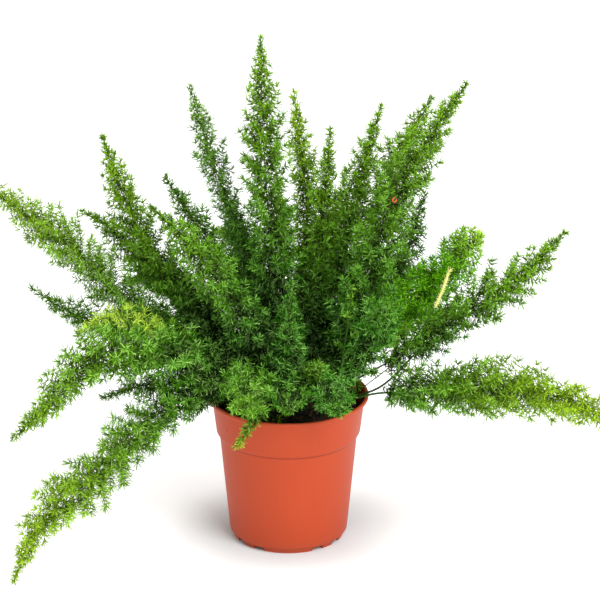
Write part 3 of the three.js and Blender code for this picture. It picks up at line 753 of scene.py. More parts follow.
def build_piece(name, batches):
    """An object whose mesh holds all batches, with the growth attribute at each vertex."""
    points, faces, growth, shading = joined(batches)
    mesh = bpy.data.meshes.new(name)
    mesh.vertices.add(len(points))
    mesh.vertices.foreach_set("co", points.astype(np.float32).ravel())
    mesh.loops.add(faces.size)
    mesh.loops.foreach_set("vertex_index", faces.astype(np.int32).ravel())
    mesh.polygons.add(len(faces))
    mesh.polygons.foreach_set("loop_start", np.arange(0, faces.size, 3, dtype=np.int32))
    mesh.update(calc_edges=True)
    attribute = mesh.attributes.new(GROWTH, "FLOAT_COLOR", "POINT")
    attribute.data.foreach_set("color", growth.astype(np.float32).ravel())
    mesh.polygons.foreach_set("use_smooth", shading)
    piece = bpy.data.objects.new(name, mesh)
    scene.collection.objects.link(piece)
    return piece


print("x turned a quarter toward y:", turned(np.eye(3)[0], np.eye(3)[1], np.array(math.pi / 2)).round(2))

# %% Model a crumb, a chip and a fibre
def roughened(name, jitter, evenness, seed, size=(1, 1, 1), cuts=0):
    """Stretches and cuts the primitive that was just added, jogs its corners, and takes it as arrays."""
    bpy.ops.object.mode_set(mode="EDIT")
    bpy.ops.transform.resize(value=size)
    if cuts:
        bpy.ops.mesh.subdivide(number_cuts=cuts)
    bpy.ops.transform.vertex_random(offset=jitter, uniform=evenness, seed=seed)
    bpy.ops.object.mode_set(mode="OBJECT")
    return as_arrays(named(name))


let_go()
bpy.ops.mesh.primitive_ico_sphere_add(subdivisions=1, radius=0.5)
crumb_model = roughened("crumb", 0.12, 0.5, seed=3)
let_go()
bpy.ops.mesh.primitive_cube_add(size=1)
chip_model = roughened("chip", 0.1, 0.4, seed=5, size=(1, 0.45, 0.16))
let_go()
bpy.ops.mesh.primitive_cylinder_add(vertices=3, radius=0.03, depth=1)
fibre_model = roughened("fibre", 0.08, 0.2, seed=8, cuts=1)
print("triangles:", [len(faces) for _, faces in (crumb_model, chip_model, fibre_model)])

# %% Strew them on the soil
STREWN = [  # model, number, sizes in millimetres and how far they tip over
    (crumb_model, 800, (0.9, 3.4), 1.0),
    (chip_model, 120, (3.0, 7.0), 0.35),
    (fibre_model, 90, (6.0, 13.0), 2.5),
]
STREWN_STRETCH = (0.7, 1.3)
STREWN_WITHIN = SOIL_EDGE - 2.5
DEEPEST_LUMP = 5


def strewn(model, count, sizes, tip_over, random):
    """Copies of a model on the soil's top, each with its own place, turn and size."""
    points, faces = model
    radius = STREWN_WITHIN * MM * np.sqrt(random.random(count))
    angle = FULL_TURN * random.random(count)
    lumps = np.array([v.co[:] for v in soil.data.vertices if v.co.z > (SOIL_LEVEL - DEEPEST_LUMP) * MM])
    x, y = radius * np.cos(angle), radius * np.sin(angle)
    nearest = np.argmin((lumps[:, :1] - x) ** 2 + (lumps[:, 1:2] - y) ** 2, axis=0)
    place = np.stack([x, y, lumps[nearest, 2]], axis=1)
    normal = unit(np.array([0, 0, 1.0]) + tip_over * random.normal(size=(count, 3)))
    across, over = square_to(normal, random.normal(size=(count, 3)))
    size = random.uniform(*sizes, size=(count, 1, 1)) * MM
    local = points[None] * random.uniform(*STREWN_STRETCH, size=(count, 1, 3)) * size
    laid = place[:, None] + local[..., :1] * across[:, None] + local[..., 1:2] * over[:, None]
    laid = laid + local[..., 2:] * normal[:, None]
    index = faces[None] + (np.arange(count) * len(points))[:, None, None]
    return laid.reshape(-1, 3), index.reshape(-1, 3), np.zeros((laid.size // 3, 4)), FLAT


soil_random = np.random.default_rng(11)
strewn_bits = build_piece("strewn_bits", [strewn(*kind, soil_random) for kind in STREWN])
give(strewn_bits, soil_finish)
give(soil, soil_finish)
let_go()
strewn_bits.select_set(True)
soil.select_set(True)
bpy.context.view_layer.objects.active = soil
bpy.ops.object.join()
soil.name = "potting_soil"
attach(soil, "root")
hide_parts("soil")
print("soil triangles with its crumbs:", triangles(soil))

# %% [markdown]
# ## A needle, a twig and a stem, each modelled once
# What looks like a leaf is a thin green twig. It is modelled as a square rod whose root is pinched flat
# one way and whose tip is pinched flat the other way, and narrower. That leaves four corners and four
# triangles, the fewest that a closed shape can have, and it looks about as wide from every side. So the
# plant can carry nearly two hundred thousand of them. A twig is a three-sided cone cut in two along its
# length, and a stem is a six-sided one with many cuts, so that it can be bent. All are one unit long
# and one unit in radius here, and their copies are sized as they are laid.

# %% Model them
def cone_model(name, sides, rings):
    """A cone of unit radius and unit length along Z, closed at its base, cut into rings."""
    let_go()
    bpy.ops.mesh.primitive_cone_add(vertices=sides, radius1=1, radius2=1, depth=1 / rings,
                                    location=(0, 0, 0.5 / rings), end_fill_type="NGON")
    made = named(name)
    settle(made)
    bpy.ops.object.mode_set(mode="EDIT")
    select_where(made, "polygons", lambda centre: centre.z > 0.9 / rings)
    for _ in range(rings - 1):
        bpy.ops.mesh.extrude_region_move(TRANSFORM_OT_translate={"value": (0, 0, 1 / rings)})
    bpy.ops.mesh.merge(type="CENTER")
    bpy.ops.object.mode_set(mode="OBJECT")
    return as_arrays(made)


NEEDLE_TIP_WIDTH = 0.55
TWIG_SIDES, TWIG_RINGS = 3, 2
STEM_SIDES, STEM_RINGS = 6, 44

let_go()
bpy.ops.mesh.primitive_cube_add(size=1, location=(0, 0, 0.5))
needle = named("needle")
settle(needle)
bpy.ops.object.mode_set(mode="EDIT")
select_where(needle, "vertices", lambda co: co.z < 0.5)
bpy.ops.transform.resize(value=(2, 0, 1))
select_where(needle, "vertices", lambda co: co.z > 0.5)
bpy.ops.transform.resize(value=(0, 2 * NEEDLE_TIP_WIDTH, 1))
bpy.ops.mesh.select_all(action="SELECT")
bpy.ops.mesh.remove_doubles(threshold=0.001)
bpy.ops.mesh.normals_make_consistent(inside=False)
bpy.ops.object.mode_set(mode="OBJECT")
print("corners of a needle:", [tuple(round(part, 2) for part in v.co) for v in needle.data.vertices])
needle_model = as_arrays(needle)
twig_model = cone_model("twig", TWIG_SIDES, TWIG_RINGS)
stem_model = cone_model("stem", STEM_SIDES, STEM_RINGS)
print("triangles: needle", len(needle_model[1]), "twig", len(twig_model[1]), "stem", len(stem_model[1]))

# %% [markdown]
# ## The stem's route
# A stem leaves the soil upright and then runs smoothly through a few chosen points, the same ones as in
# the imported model. The curve through them is a centripetal Catmull-Rom spline, which never loops
# between points that lie far apart. It is measured once, so that a place on it is given by its length.

# %% Route through points
SOCKET_DEPTH = 9
STEM_UPRIGHT = 4
POINTS_A_PIECE = 60


def spline_piece(p0, p1, p2, p3, shares):
    """Points between p1 and p2 of a centripetal Catmull-Rom spline."""
    gaps = [max(np.linalg.norm(b - a), 1e-9) ** 0.5 for a, b in ((p0, p1), (p1, p2), (p2, p3))]
    out = (p1 - p0) / gaps[0] - (p2 - p0) / (gaps[0] + gaps[1]) + (p2 - p1) / gaps[1]
    into = (p2 - p1) / gaps[1] - (p3 - p1) / (gaps[1] + gaps[2]) + (p3 - p2) / gaps[2]
    out, into = out * gaps[1], into * gaps[1]
    u = shares[:, None]
    return p1 + out * u + (3 * (p2 - p1) - 2 * out - into) * u ** 2 + (2 * (p1 - p2) + out + into) * u ** 3


class Route:
    """A smooth curve in metres, with a place, a direction and two cross directions at any length."""

    def __init__(self, foot, through):
        x, y = foot
        ends = [(x, y, SOIL_LEVEL - SOCKET_DEPTH), (x, y, SOIL_LEVEL + STEM_UPRIGHT), *through]
        knots = np.array(ends, float) * MM
        knots = np.vstack([2 * knots[0] - knots[1], knots, 2 * knots[-1] - knots[-2]])
        shares = np.linspace(0, 1, POINTS_A_PIECE, endpoint=False)
        parts = [spline_piece(*knots[i:i + 4], shares) for i in range(len(knots) - 3)]
        self.points = np.vstack([*parts, knots[-2:-1]])
        steps = np.linalg.norm(np.diff(self.points, axis=0), axis=1)
        self.lengths = np.concatenate([[0], np.cumsum(steps)])
        self.length = self.lengths[-1]
        self.directions = unit(np.gradient(self.points, axis=0))
        across = [square_to(self.directions[0], np.array([1.0, 0, 0]))[0]]
        for direction in self.directions[1:]:
            across.append(square_to(direction, across[-1])[0])
        self.across = np.array(across)

    def at(self, length, values):
        """Any of the curve's arrays at a length along it."""
        return np.stack([np.interp(length, self.lengths, values[:, axis]) for axis in range(3)], axis=-1)


test_route = Route((0, 0), [(10, 0, 200), (40, 0, 300)])
print("a test route's length in mm:", round(test_route.length / MM))

# %% [markdown]
# ## Growing a plume
# Twigs stand round the stem at the golden angle, as they do on the plant, so no twig hides the one below
# it. They lean forward more and get shorter towards the tip, which makes the foxtail. Each twig
# carries whorls of needles along its outer part. A long bare stem also has a few sparse sprigs below its
# foliage. All of it is worked out for a whole plume at once, in arrays: `lay` places a model's copies on
# curves that start at a point, leave in one direction and bend towards another.

# %% Lay copies along bent lines
def lay(model, start, direction, length, bend, radius, hint):
    """Copies of a unit model, each on start + direction·length·z + bend·z², z from 0 to 1."""
    points, faces = model
    across, over = square_to(direction, hint)
    z = points[:, 2][None, :, None]
    spine = start[:, None] + (direction * length[:, None])[:, None] * z + bend[:, None] * z ** 2
    x = points[:, 0][None, :, None] * radius[:, None, None]
    y = points[:, 1][None, :, None] * radius[:, None, None]
    laid = spine + x * across[:, None] + y * over[:, None]
    index = faces[None] + (np.arange(len(start)) * len(points))[:, None, None]
    return laid, index.reshape(-1, 3)


def growth_values(light, youth, chance, along):
    """Rows of the growth attribute, one for each vertex."""
    parts = np.broadcast_arrays(light, youth, chance, along)
    return np.stack(parts, axis=-1).reshape(-1, 4)


two_starts, two_ways = np.zeros((2, 3)), np.eye(3)[:2]
test_needles = lay(needle_model, two_starts, two_ways, np.ones(2), two_starts, np.ones(2), np.eye(3)[1:])
print("corners of two copies of a needle:", test_needles[0].reshape(-1, 3).shape)

# %% Habits
# A habit is how a plume grows: over how many of its widths it tapers to its tip and by which power,
# the spacing of its twigs and of the whorls on a twig in mm, the share of a twig that is bare, how
# short the shortest twigs are, the needles in a whorl, their length and radius in mm, how young its
# tip looks, where 1 is usual, the share of its half width within which its needles get a painted shade,
# and how much painted light they keep where the plumes crowd together. A core below 0 takes the painted
# shade off even the inner needles.
Habit = namedtuple("Habit", [
    "tip_widths", "tip_power", "twig_pitch", "whorl_pitch", "bare_twig", "shortest",
    "whorl_needles", "needle_length", "needle_radius", "youth", "dark_core", "least_light",
], defaults=[0.15])
FOXTAIL = Habit(1.9, 0.75, 1.9, 2.75, 0.20, 0.66, 9, 6.7, 0.60, 1.0, 0.15)
OPEN = Habit(1.9, 0.75, 1.85, 2.9, 0.20, 0.66, 9, 7.2, 0.62, 1.15, 0.0)
LACY = Habit(1.9, 0.75, 1.7, 2.7, 0.15, 0.72, 9, 6.8, 0.50, 1.0, 0.0)
BLUNT = Habit(2.0, 0.4, 1.3, 2.9, 0.18, 0.60, 9, 7.4, 0.60, 1.2, 0.0)
CLUB = Habit(0.85, 0.5, 1.35, 2.5, 0.15, 0.80, 9, 6.8, 0.60, 0.93, 0.0)
HEAD = Habit(0.85, 0.5, 1.9, 3.0, 0.25, 0.85, 8, 6.4, 0.56, 0.4, 0.35)
CONE = Habit(1.9, 0.75, 1.9, 3.0, 0.20, 0.80, 8, 6.4, 0.56, 0.4, 0.35, 0.4)
BRIGHT_HEAD = HEAD._replace(youth=0.5, dark_core=0.12, least_light=0.9)
DIM_HEAD = HEAD._replace(youth=0.5, dark_core=0.62)
ARCHING = OPEN._replace(twig_pitch=1.55, youth=0.8, dark_core=0.15)
SHADED = FOXTAIL._replace(youth=0.85, dark_core=0.28)
# Painted light: paler tips for plumes on the left, which the key lamp reaches less.
PAINTED_LIGHT_TIP = FOXTAIL._replace(youth=1.2)
AIRY = FOXTAIL._replace(twig_pitch=2.3, needle_radius=0.52, youth=0.8, dark_core=0)
# Longer needles, and paler tips as painted light for plumes on the left, away from the key lamp.
AIRY_PAINTED_LIGHT = AIRY._replace(needle_length=7.6, youth=1.3)
RIGHT_HEAD = HEAD._replace(least_light=0.5)
SPARSE = Habit(1.9, 0.75, 3.9, 3.7, 0.30, 0.60, 8, 6.8, 0.50, 1.5, -0.8)
SHOOT = Habit(1.9, 0.75, 13.0, 4.0, 0.60, 0.60, 5, 5.0, 0.42, 0.8, 0.0)


def taper(to_tip, width, habit):
    """1 along most of a plume, falling to 0 at its tip."""
    return np.minimum(1, np.maximum(to_tip, 0) / (habit.tip_widths * width)) ** habit.tip_power


print("taper halfway down a foxtail's tip:", round(float(taper(40, 50, FOXTAIL)), 2))

# %% Twigs round a stem
TWIG_PITCH_AT_TIP = 1.9 * MM
TWIG_RADIUS = 0.42 * MM
TWIG_CURL = 0.30
TWIG_LIFT = 0.10
BASE_LEAN = math.radians(68)
TIP_LEAN = math.radians(34)
LEAST_SPREAD = math.radians(50)
END_REACH = 4.8 * MM
SHORTEST_TWIG = 1.5 * MM
LONGEST_TWIG_SHARE = 1.12
LOWEST_REACH = 0.62
FULL_AFTER_WIDTHS = 0.8
STEM_END = 2 * MM
PLACE_DRIFT, TURN_DRIFT, LEAN_DRIFT = 0.7, 0.22, 0.15
LONG_BARE = 0.35
LOWEST_SPRIG = 0.21
SPRIGS_WIDER = 8
SPRIG_YOUTH = 0.9


def twig_places(route, width, habit, bare, random):
    """Lengths along the stem at which sprigs and twigs leave it."""
    at = bare * route.length
    places = []
    if bare > LONG_BARE:
        sprig_pitch = SPRIGS_WIDER * habit.twig_pitch * MM
        places = list(np.arange(LOWEST_SPRIG * route.length, at, sprig_pitch))
    while at < route.length - STEM_END:
        places.append(at)
        share = float(taper(route.length - at, width, habit))
        at += TWIG_PITCH_AT_TIP + (habit.twig_pitch * MM - TWIG_PITCH_AT_TIP) * share
    return np.array(places) + random.uniform(-PLACE_DRIFT, PLACE_DRIFT, len(places)) * MM


def grow_twigs(route, width, habit, bare, random):
    """Start, direction, length and bend of every twig of a plume, its youth, its share of full
    length and a chance value."""
    places = twig_places(route, width, habit, bare, random)
    count = len(places)
    fullness = taper(route.length - places, width, habit)
    full = np.clip((places - bare * route.length) / (FULL_AFTER_WIDTHS * width), 0, 1)
    ahead = route.at(places, route.directions)
    across = route.at(places, route.across)
    across, over = square_to(ahead, across)
    turn = GOLDEN_ANGLE * np.arange(count) + random.normal(0, TURN_DRIFT, count)
    lean = TIP_LEAN + (BASE_LEAN - TIP_LEAN) * fullness + random.normal(0, LEAN_DRIFT, count)
    direction = turned(ahead, turned(across, over, turn), lean)
    reach = (0.5 * width * fullness - END_REACH) * (LOWEST_REACH + (1 - LOWEST_REACH) * full)
    reach = reach * random.uniform(habit.shortest, LONGEST_TWIG_SHARE, count)
    length = np.maximum(reach, SHORTEST_TWIG) / np.sin(np.maximum(lean, LEAST_SPREAD))
    bend = (ahead * TWIG_CURL + np.array([0, 0, TWIG_LIFT])) * length[:, None]
    start = route.at(places, route.points)
    on_bare_stem = places < bare * route.length - 1 * MM
    youth = np.where(on_bare_stem, SPRIG_YOUTH, habit.youth * places / route.length)
    return start, direction, length, bend, youth, fullness, random.random(count)


test_twigs = grow_twigs(test_route, 50 * MM, FOXTAIL, 0, np.random.default_rng(0))
print("twigs along the test route:", len(test_twigs[0]))

# %% Whorls of needles on the twigs
LEAST_BARE_TWIG = 1.6 * MM
LAST_WHORL_GAP = 0.4
NEEDLE_TURN_DRIFT = 0.12


def whorl_places(length, habit):
    """The twig and the share along it of every whorl but the one at the end of each twig."""
    pitch = habit.whorl_pitch * MM
    first = np.maximum(habit.bare_twig * length, LEAST_BARE_TWIG)
    steps = first[:, None] + pitch * np.arange(int(np.max(length) / pitch) + 2)[None]
    twig, step = np.nonzero(steps < (length - LAST_WHORL_GAP * pitch)[:, None])
    return twig, steps[twig, step] / length[twig]


def grow_needles(twigs, stars, shares, per_star, leans, random):
    """Start and direction of each needle, and the star that it belongs to, at shares along its twig."""
    start, direction, length, bend = twigs[:4]
    along = shares[:, None]
    centre = start[stars] + direction[stars] * length[stars][:, None] * along + bend[stars] * along ** 2
    ahead = unit(direction[stars] * length[stars][:, None] + 2 * bend[stars] * along)
    across, over = square_to(ahead, random.normal(size=ahead.shape))
    count = len(stars)
    drift = NEEDLE_TURN_DRIFT * random.normal(size=(count, per_star))
    turn = FULL_TURN * (np.arange(per_star)[None] / per_star + drift)
    lean = random.uniform(*leans, size=(count, per_star))
    pointing = turned(ahead[:, None], turned(across[:, None], over[:, None], turn), lean)
    star = np.repeat(np.arange(count), per_star)
    return np.repeat(centre, per_star, axis=0), pointing.reshape(-1, 3), star


print("whorls on a twig of 20 mm:", len(whorl_places(np.array([20 * MM]), FOXTAIL)[0]))

# %% [markdown]
# ## Keeping clear of the pot
# Plumes lean over the lip, and a twig or needle that would grow into the plastic or the soil is left off.
# The test works on the rough outline of the pot: a point is fine above the lip, outside the wall or
# inside it above the soil.

# %% Room round the pot
WALL_CLEARANCE = 1.2
SOIL_CLEARANCE = 1
GROUND_CLEARANCE = 1
POT_INSIDE = [(BODY_TOP, 62.8), (BAND_BOTTOM, 65.8), (POT_HEIGHT - 6, 69.6), (POT_HEIGHT, 71.5)]
POT_OUTSIDE = [(0, 55), (BODY_TOP, 64.4), (BAND_BOTTOM, 67.4), (POT_HEIGHT - 6, 71.2),
               (POT_HEIGHT - 3, 75)]


def clear_of_pot(points):
    """For each point in metres, whether it is clear of the pot, of the soil and of the ground."""
    x, y, z = (points / MM).T
    radius = np.hypot(x, y)
    inner = np.interp(z, *zip(*POT_INSIDE)) - WALL_CLEARANCE
    outer = np.interp(z, *zip(*POT_OUTSIDE)) + WALL_CLEARANCE
    above = z > POT_HEIGHT + WALL_CLEARANCE
    inside = (radius < inner) & (z > SOIL_LEVEL + SOIL_CLEARANCE)
    return (above | inside | (radius > outer)) & (z > GROUND_CLEARANCE)


print("a point in the wall is clear:", bool(clear_of_pot(np.array([[0.07, 0, 0.12]]))[0]))

# %% [markdown]
# ## One plume
# A plume is one mesh of three kinds of batches: the stem, its twigs and the needles. The growth
# attribute is worked out here too. Light, painted into the colour as shade, comes from how far a vertex
# lies from the stem, as a share of the plume's half width, and falls off near the crown, where the plumes
# crowd together. Youth comes from how near the tip of the plume the twig stands. Chance is partly a
# star's and partly each needle's own.

# %% Batches of stem and twigs
STEM_RADII = (1.15 * MM, 0.35 * MM)
SHOOT_RADII = (0.95 * MM, 0.75 * MM)
# twigs are given little light and stems none, so both are painted in shade
TWIG_LIGHT = 0.3
STEM_CHANCE = 0.5


def stem_batch(route, radius_at):
    """The stem model bent along the whole route."""
    points, faces = stem_model
    length = points[:, 2] * route.length
    across, over = square_to(route.at(length, route.directions), route.at(length, route.across))
    radius = radius_at(length / route.length)[:, None]
    laid = route.at(length, route.points) + points[:, :1] * radius * across + points[:, 1:2] * radius * over
    youth = np.clip(points[:, 2], 0, 1)
    return laid, faces, growth_values(0.0, youth, STEM_CHANCE, 0.0), SMOOTH


def twig_batch(twigs, random):
    """The twig model on every twig."""
    start, direction, length, bend, youth, _, chance = twigs
    radius = np.full(len(start), TWIG_RADIUS)
    laid, faces = lay(twig_model, start, direction, length, bend, radius, random.normal(size=start.shape))
    growth = growth_values(TWIG_LIGHT, youth[:, None], chance[:, None], twig_model[0][:, 2][None])
    return laid.reshape(-1, 3), faces, growth, SMOOTH


print("triangles on the test route's twigs:", len(twig_batch(test_twigs, np.random.default_rng(0))[1]))

# %% Batches of needles
END_NEEDLES = 13
WHORL_LEAN = (math.radians(38), math.radians(100))
END_LEAN = (math.radians(5), math.radians(100))
FEWEST_AT_TIP = 0.65
SHORTEST_AT_TIP = 0.70
LENGTH_SPREAD, RADIUS_SPREAD = (0.78, 1.16), (0.85, 1.1)
LEAST_TIP_SHARE = 0.4
STAR_CHANCE = 0.25
CROWN = np.array([-28, -2, 180]) * MM
CROWDED_TO, OPEN_FROM = 42 * MM, 118 * MM


def needle_light(laid, start, stem_point, tip_share, youth, width, habit):
    """How much light each corner of each needle gets, from 0 to 1, to be painted into its colour."""
    half_width = 0.5 * width * np.maximum(tip_share, LEAST_TIP_SHARE)
    out = np.linalg.norm(laid - stem_point[:, None], axis=-1) / half_width[:, None]
    out = (out - habit.dark_core) / (1 - habit.dark_core)
    # Painted shade where the plumes crowd together near the crown.
    from_crown = np.linalg.norm(start - CROWN, axis=-1)
    open_air = np.clip((from_crown - CROWDED_TO) / (OPEN_FROM - CROWDED_TO), habit.least_light, 1)
    return np.clip(out * np.maximum(open_air, youth)[:, None], 0, 1)


def needle_batch(twigs, stars, shares, per_star, leans, width, habit, random):
    """The needles of stars that stand at shares along their twigs, less those that would hit the pot."""
    start, pointing, star = grow_needles(twigs, stars, shares, per_star, leans, random)
    youth, tip_share = twigs[4][stars][star], twigs[5][stars][star]
    length = habit.needle_length * MM * random.uniform(*LENGTH_SPREAD, len(star))
    length = length * (SHORTEST_AT_TIP + (1 - SHORTEST_AT_TIP) * tip_share)
    kept = clear_of_pot(start) & clear_of_pot(start + pointing * length[:, None])
    kept &= random.random(len(star)) < FEWEST_AT_TIP + (1 - FEWEST_AT_TIP) * tip_share
    parts = (start, pointing, star, youth, length, tip_share)
    start, pointing, star, youth, length, tip_share = (part[kept] for part in parts)
    bend = np.zeros_like(pointing)
    radius = habit.needle_radius * MM * random.uniform(*RADIUS_SPREAD, len(star))
    laid, faces = lay(needle_model, start, pointing, length, bend, radius, random.normal(size=bend.shape))
    light = needle_light(laid, start, twigs[0][stars][star], tip_share, youth, width, habit)
    chance = STAR_CHANCE * random.random(len(stars))[star] + (1 - STAR_CHANCE) * random.random(len(star))
    growth = growth_values(light, youth[:, None], chance[:, None], needle_model[0][:, 2][None])
    return laid.reshape(-1, 3), faces, growth, FLAT


print("light at the crown of a foxtail is at least", FOXTAIL.least_light)

# %% One plume
def grow_plume(node, tone, habit, width, bare, foot, through, seed):
    """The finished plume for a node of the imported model."""
    random = np.random.default_rng(seed)
    route = Route(foot, through)
    width = width * MM
    twigs = grow_twigs(route, width, habit, bare, random)
    start, direction, length, bend = twigs[:4]
    kept = clear_of_pot(start) & clear_of_pot(start + direction * length[:, None] + bend)
    twigs = tuple(part[kept] for part in twigs)
    stars, shares = whorl_places(twigs[2], habit)
    ends = np.arange(len(twigs[0]))
    thick, thin = SHOOT_RADII if habit is SHOOT else STEM_RADII
    plume = (width, habit, random)
    batches = [
        stem_batch(route, lambda share: thick + (thin - thick) * share),
        twig_batch(twigs, random),
        needle_batch(twigs, stars, shares, habit.whorl_needles, WHORL_LEAN, *plume),
        needle_batch(twigs, ends, np.ones(len(ends)), END_NEEDLES, END_LEAN, *plume),
    ]
    piece = build_piece("leafy_" + node, batches)
    give(piece, needle_finishes[tone])
    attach(piece, "root")
    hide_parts("plume_" + node)
    return piece


print("plume nodes in the packed model:", sum("plume" in str(node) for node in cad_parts))

# %% [markdown]
# ## Where the plumes stand
# Each entry gives a plume's name, tone and habit, its full width, the share of its stem that is bare,
# where it stands in the soil and the points that its stem passes through, in millimetres. The long ones
# rise or arch outward, one sprig hangs over the lip, and the short young ones crowd the front and back.

# %% The plumes
PLUMES = [
    ("top_tall", "mid", FOXTAIL, 54, 0.15, (-4, 6),
     [(-10, 2, 200), (-13, 2, 272), (-20, 10, 340), (-24, 22, 425), (-25, 35, 478)]),
    ("top_left", "mid", AIRY, 38, 0.15, (-12, 14),
     [(-31, 25, 250), (-67, 55, 341), (-92, 80, 416)]),
    ("left_high", "mid", PAINTED_LIGHT_TIP, 52, 0.15, (-23, 8),
     [(-80, 30, 212), (-129, 50, 262), (-158, 65, 324), (-173, 70, 371)]),
    ("left_high_thin", "mid", FOXTAIL, 42, 0.15, (-26, 20),
     [(-84, 52, 200), (-130, 78, 235), (-171, 98, 270), (-197, 110, 282)]),
    ("left_long", "bright", LACY, 56, 0.15, (-35, 8),
     [(-92, 10, 183), (-141, 25, 213), (-203, 52, 266), (-294, 84, 324)]),
    ("left_thin", "dark", AIRY_PAINTED_LIGHT, 36, 0.15, (-40, -2),
     [(-91, -10, 172), (-147, -4, 203), (-206, 6, 221), (-239, 12, 242)]),
    ("top_left_short", "dark", FOXTAIL, 38, 0.15, (-14, 2),
     [(-45, 2, 236), (-81, 4, 300), (-114, 8, 354)]),
    ("front_left_tall", "mid", SHADED, 52, 0.15, (-12, -12),
     [(-31, -42, 205), (-62, -60, 272), (-100, -74, 330), (-123, -82, 356)]),
    ("top_pale", "bright", FOXTAIL, 33, 0.18, (6, 17),
     [(16, 50, 240), (16, 78, 312), (11, 100, 352), (5, 118, 398)]),
    ("top_short", "mid", FOXTAIL, 34, 0.18, (7, 5),
     [(28, 20, 240), (33, 38, 310), (39, 55, 382)]),
    ("top_right_thin", "mid", FOXTAIL, 36, 0.15, (17, 11),
     [(50, 24, 260), (66, 34, 342), (85, 44, 408)]),
    ("top_small", "mid", FOXTAIL, 30, 0.18, (15, 27),
     [(36, 76, 220), (48, 112, 266), (53, 145, 308)]),
    ("right_tall", "mid", FOXTAIL, 58, 0.15, (16, -4),
     [(54, -22, 205), (82, -26, 290), (110, -20, 367), (162, -10, 449)]),
    ("right_tall_behind", "mid", FOXTAIL, 46, 0.15, (27, 12),
     [(66, 34, 250), (98, 54, 345), (133, 74, 407)]),
    ("right_behind", "dark", FOXTAIL, 54, 0.15, (25, 28),
     [(68, 56, 200), (108, 86, 240), (129, 108, 300)]),
    ("right_yellow", "yellow", CLUB, 52, 0.15, (33, 4),
     [(57, 0, 182), (109, 20, 219), (144, 30, 248), (177, 40, 284)]),
    ("right_long", "mid", FOXTAIL, 56, 0.37, (39, -4),
     [(85, -8, 150), (119, -20, 190), (157, -35, 232), (213, -55, 279), (251, -65, 326)]),
    ("right_middle", "mid", FOXTAIL, 46, 0.48, (35, 16),
     [(78, 0, 163), (102, -14, 184), (131, -20, 214), (159, -24, 246)]),
    ("right_low", "bright", BLUNT, 64, 0.24, (44, -13),
     [(75, -19, 147), (134, -40, 158), (195, -60, 168), (250, -76, 165), (297, -95, 155)]),
    ("left_trailing", "bright", OPEN, 58, 0.14, (-38, -22),
     [(-70, -32, 150), (-113, -65, 152), (-178, -115, 103), (-229, -147, 66), (-249, -171, 27)]),
    ("left_arching", "bright", ARCHING, 62, 0.14, (-31, -13),
     [(-58, -35, 171), (-96, -55, 196), (-144, -75, 212),
      (-185, -95, 207), (-216, -108, 176), (-250, -115, 144)]),
    ("left_dark", "dark", AIRY_PAINTED_LIGHT, 32, 0.18, (-44, -12),
     [(-78, -26, 156), (-128, -45, 168), (-172, -58, 160)]),
    ("left_yellow", "yellow", SPARSE, 34, 0.5, (-22, -5),
     [(-68, -25, 186), (-118, -45, 221), (-161, -62, 243), (-190, -75, 232)]),
    ("front_left_head", "bright", BRIGHT_HEAD, 56, 0.3, (-17, -33),
     [(-31, -55, 166), (-36, -100, 183), (-40, -130, 180)]),
    ("front_head", "mid", DIM_HEAD, 42, 0.3, (-3, -40),
     [(-1, -62, 163), (1, -98, 178), (1, -118, 174)]),
    ("front_right_head", "mid", RIGHT_HEAD, 46, 0.3, (15, -37),
     [(34, -62, 165), (42, -98, 178), (46, -120, 172)]),
    ("front_cone", "mid", CONE, 38, 0.2, (0, -18),
     [(0, -46, 178), (0, -60, 226), (3, -62, 277)]),
    ("front_low_cone", "mid", CONE, 40, 0.2, (-8, -27),
     [(-5, -50, 172), (0, -76, 216), (2, -90, 262)]),
    ("front_small_head", "bright", DIM_HEAD, 26, 0.3, (9, -27),
     [(20, -52, 170), (28, -86, 202)]),
    ("over_rim", "bright", SHADED, 24, 0.5, (-9, -47),
     [(-24, -66, 150), (-36, -84, 141), (-47, -90, 124)]),
    ("front_pale_stem", "mid", SHOOT, 24, 0.4, (23, -25),
     [(45, -54, 180), (53, -74, 230), (58, -90, 280)]),
    ("right_head", "mid", HEAD, 42, 0.25, (31, -22),
     [(64, -44, 190), (84, -72, 240), (86, -102, 264)]),
    ("back_1", "mid", FOXTAIL, 46, 0.15, (12, 38),
     [(20, 74, 205), (34, 128, 250), (45, 172, 258)]),
    ("back_2", "mid", FOXTAIL, 46, 0.15, (-13, 38),
     [(-26, 74, 205), (-50, 132, 246), (-70, 172, 238)]),
    ("back_3", "dark", FOXTAIL, 44, 0.15, (28, 40),
     [(70, 82, 182), (115, 130, 206), (148, 158, 192)]),
    ("back_4", "dark", FOXTAIL, 44, 0.15, (-30, 34),
     [(-76, 76, 188), (-124, 124, 206), (-158, 154, 192)]),
    ("back_5", "mid", FOXTAIL, 40, 0.18, (-1, 28),
     [(-4, 76, 225), (-6, 120, 270), (-10, 152, 290)]),
    ("back_6", "mid", FOXTAIL, 40, 0.15, (42, 20),
     [(76, 47, 175), (126, 86, 186), (164, 112, 172)]),
    ("back_7", "mid", FOXTAIL, 40, 0.15, (-42, 20),
     [(-80, 47, 175), (-136, 84, 186), (-182, 108, 166)]),
    ("back_8", "mid", FOXTAIL, 44, 0.15, (2, 49),
     [(6, 80, 176), (14, 126, 182), (20, 160, 156)]),
    ("back_9", "dark", FOXTAIL, 40, 0.15, (-13, 25),
     [(-34, 66, 230), (-50, 106, 270), (-62, 138, 290)]),
]

plumes = [grow_plume(*entry, seed) for seed, entry in enumerate(PLUMES)]
plume_sizes = [triangles(piece) for piece in plumes]
needle_faces = sum(not face.use_smooth for piece in plumes for face in piece.data.polygons)
print("plumes:", len(plumes), "largest:", max(plume_sizes), "all:", sum(plume_sizes))
print("needles:", needle_faces // len(needle_model[1]))

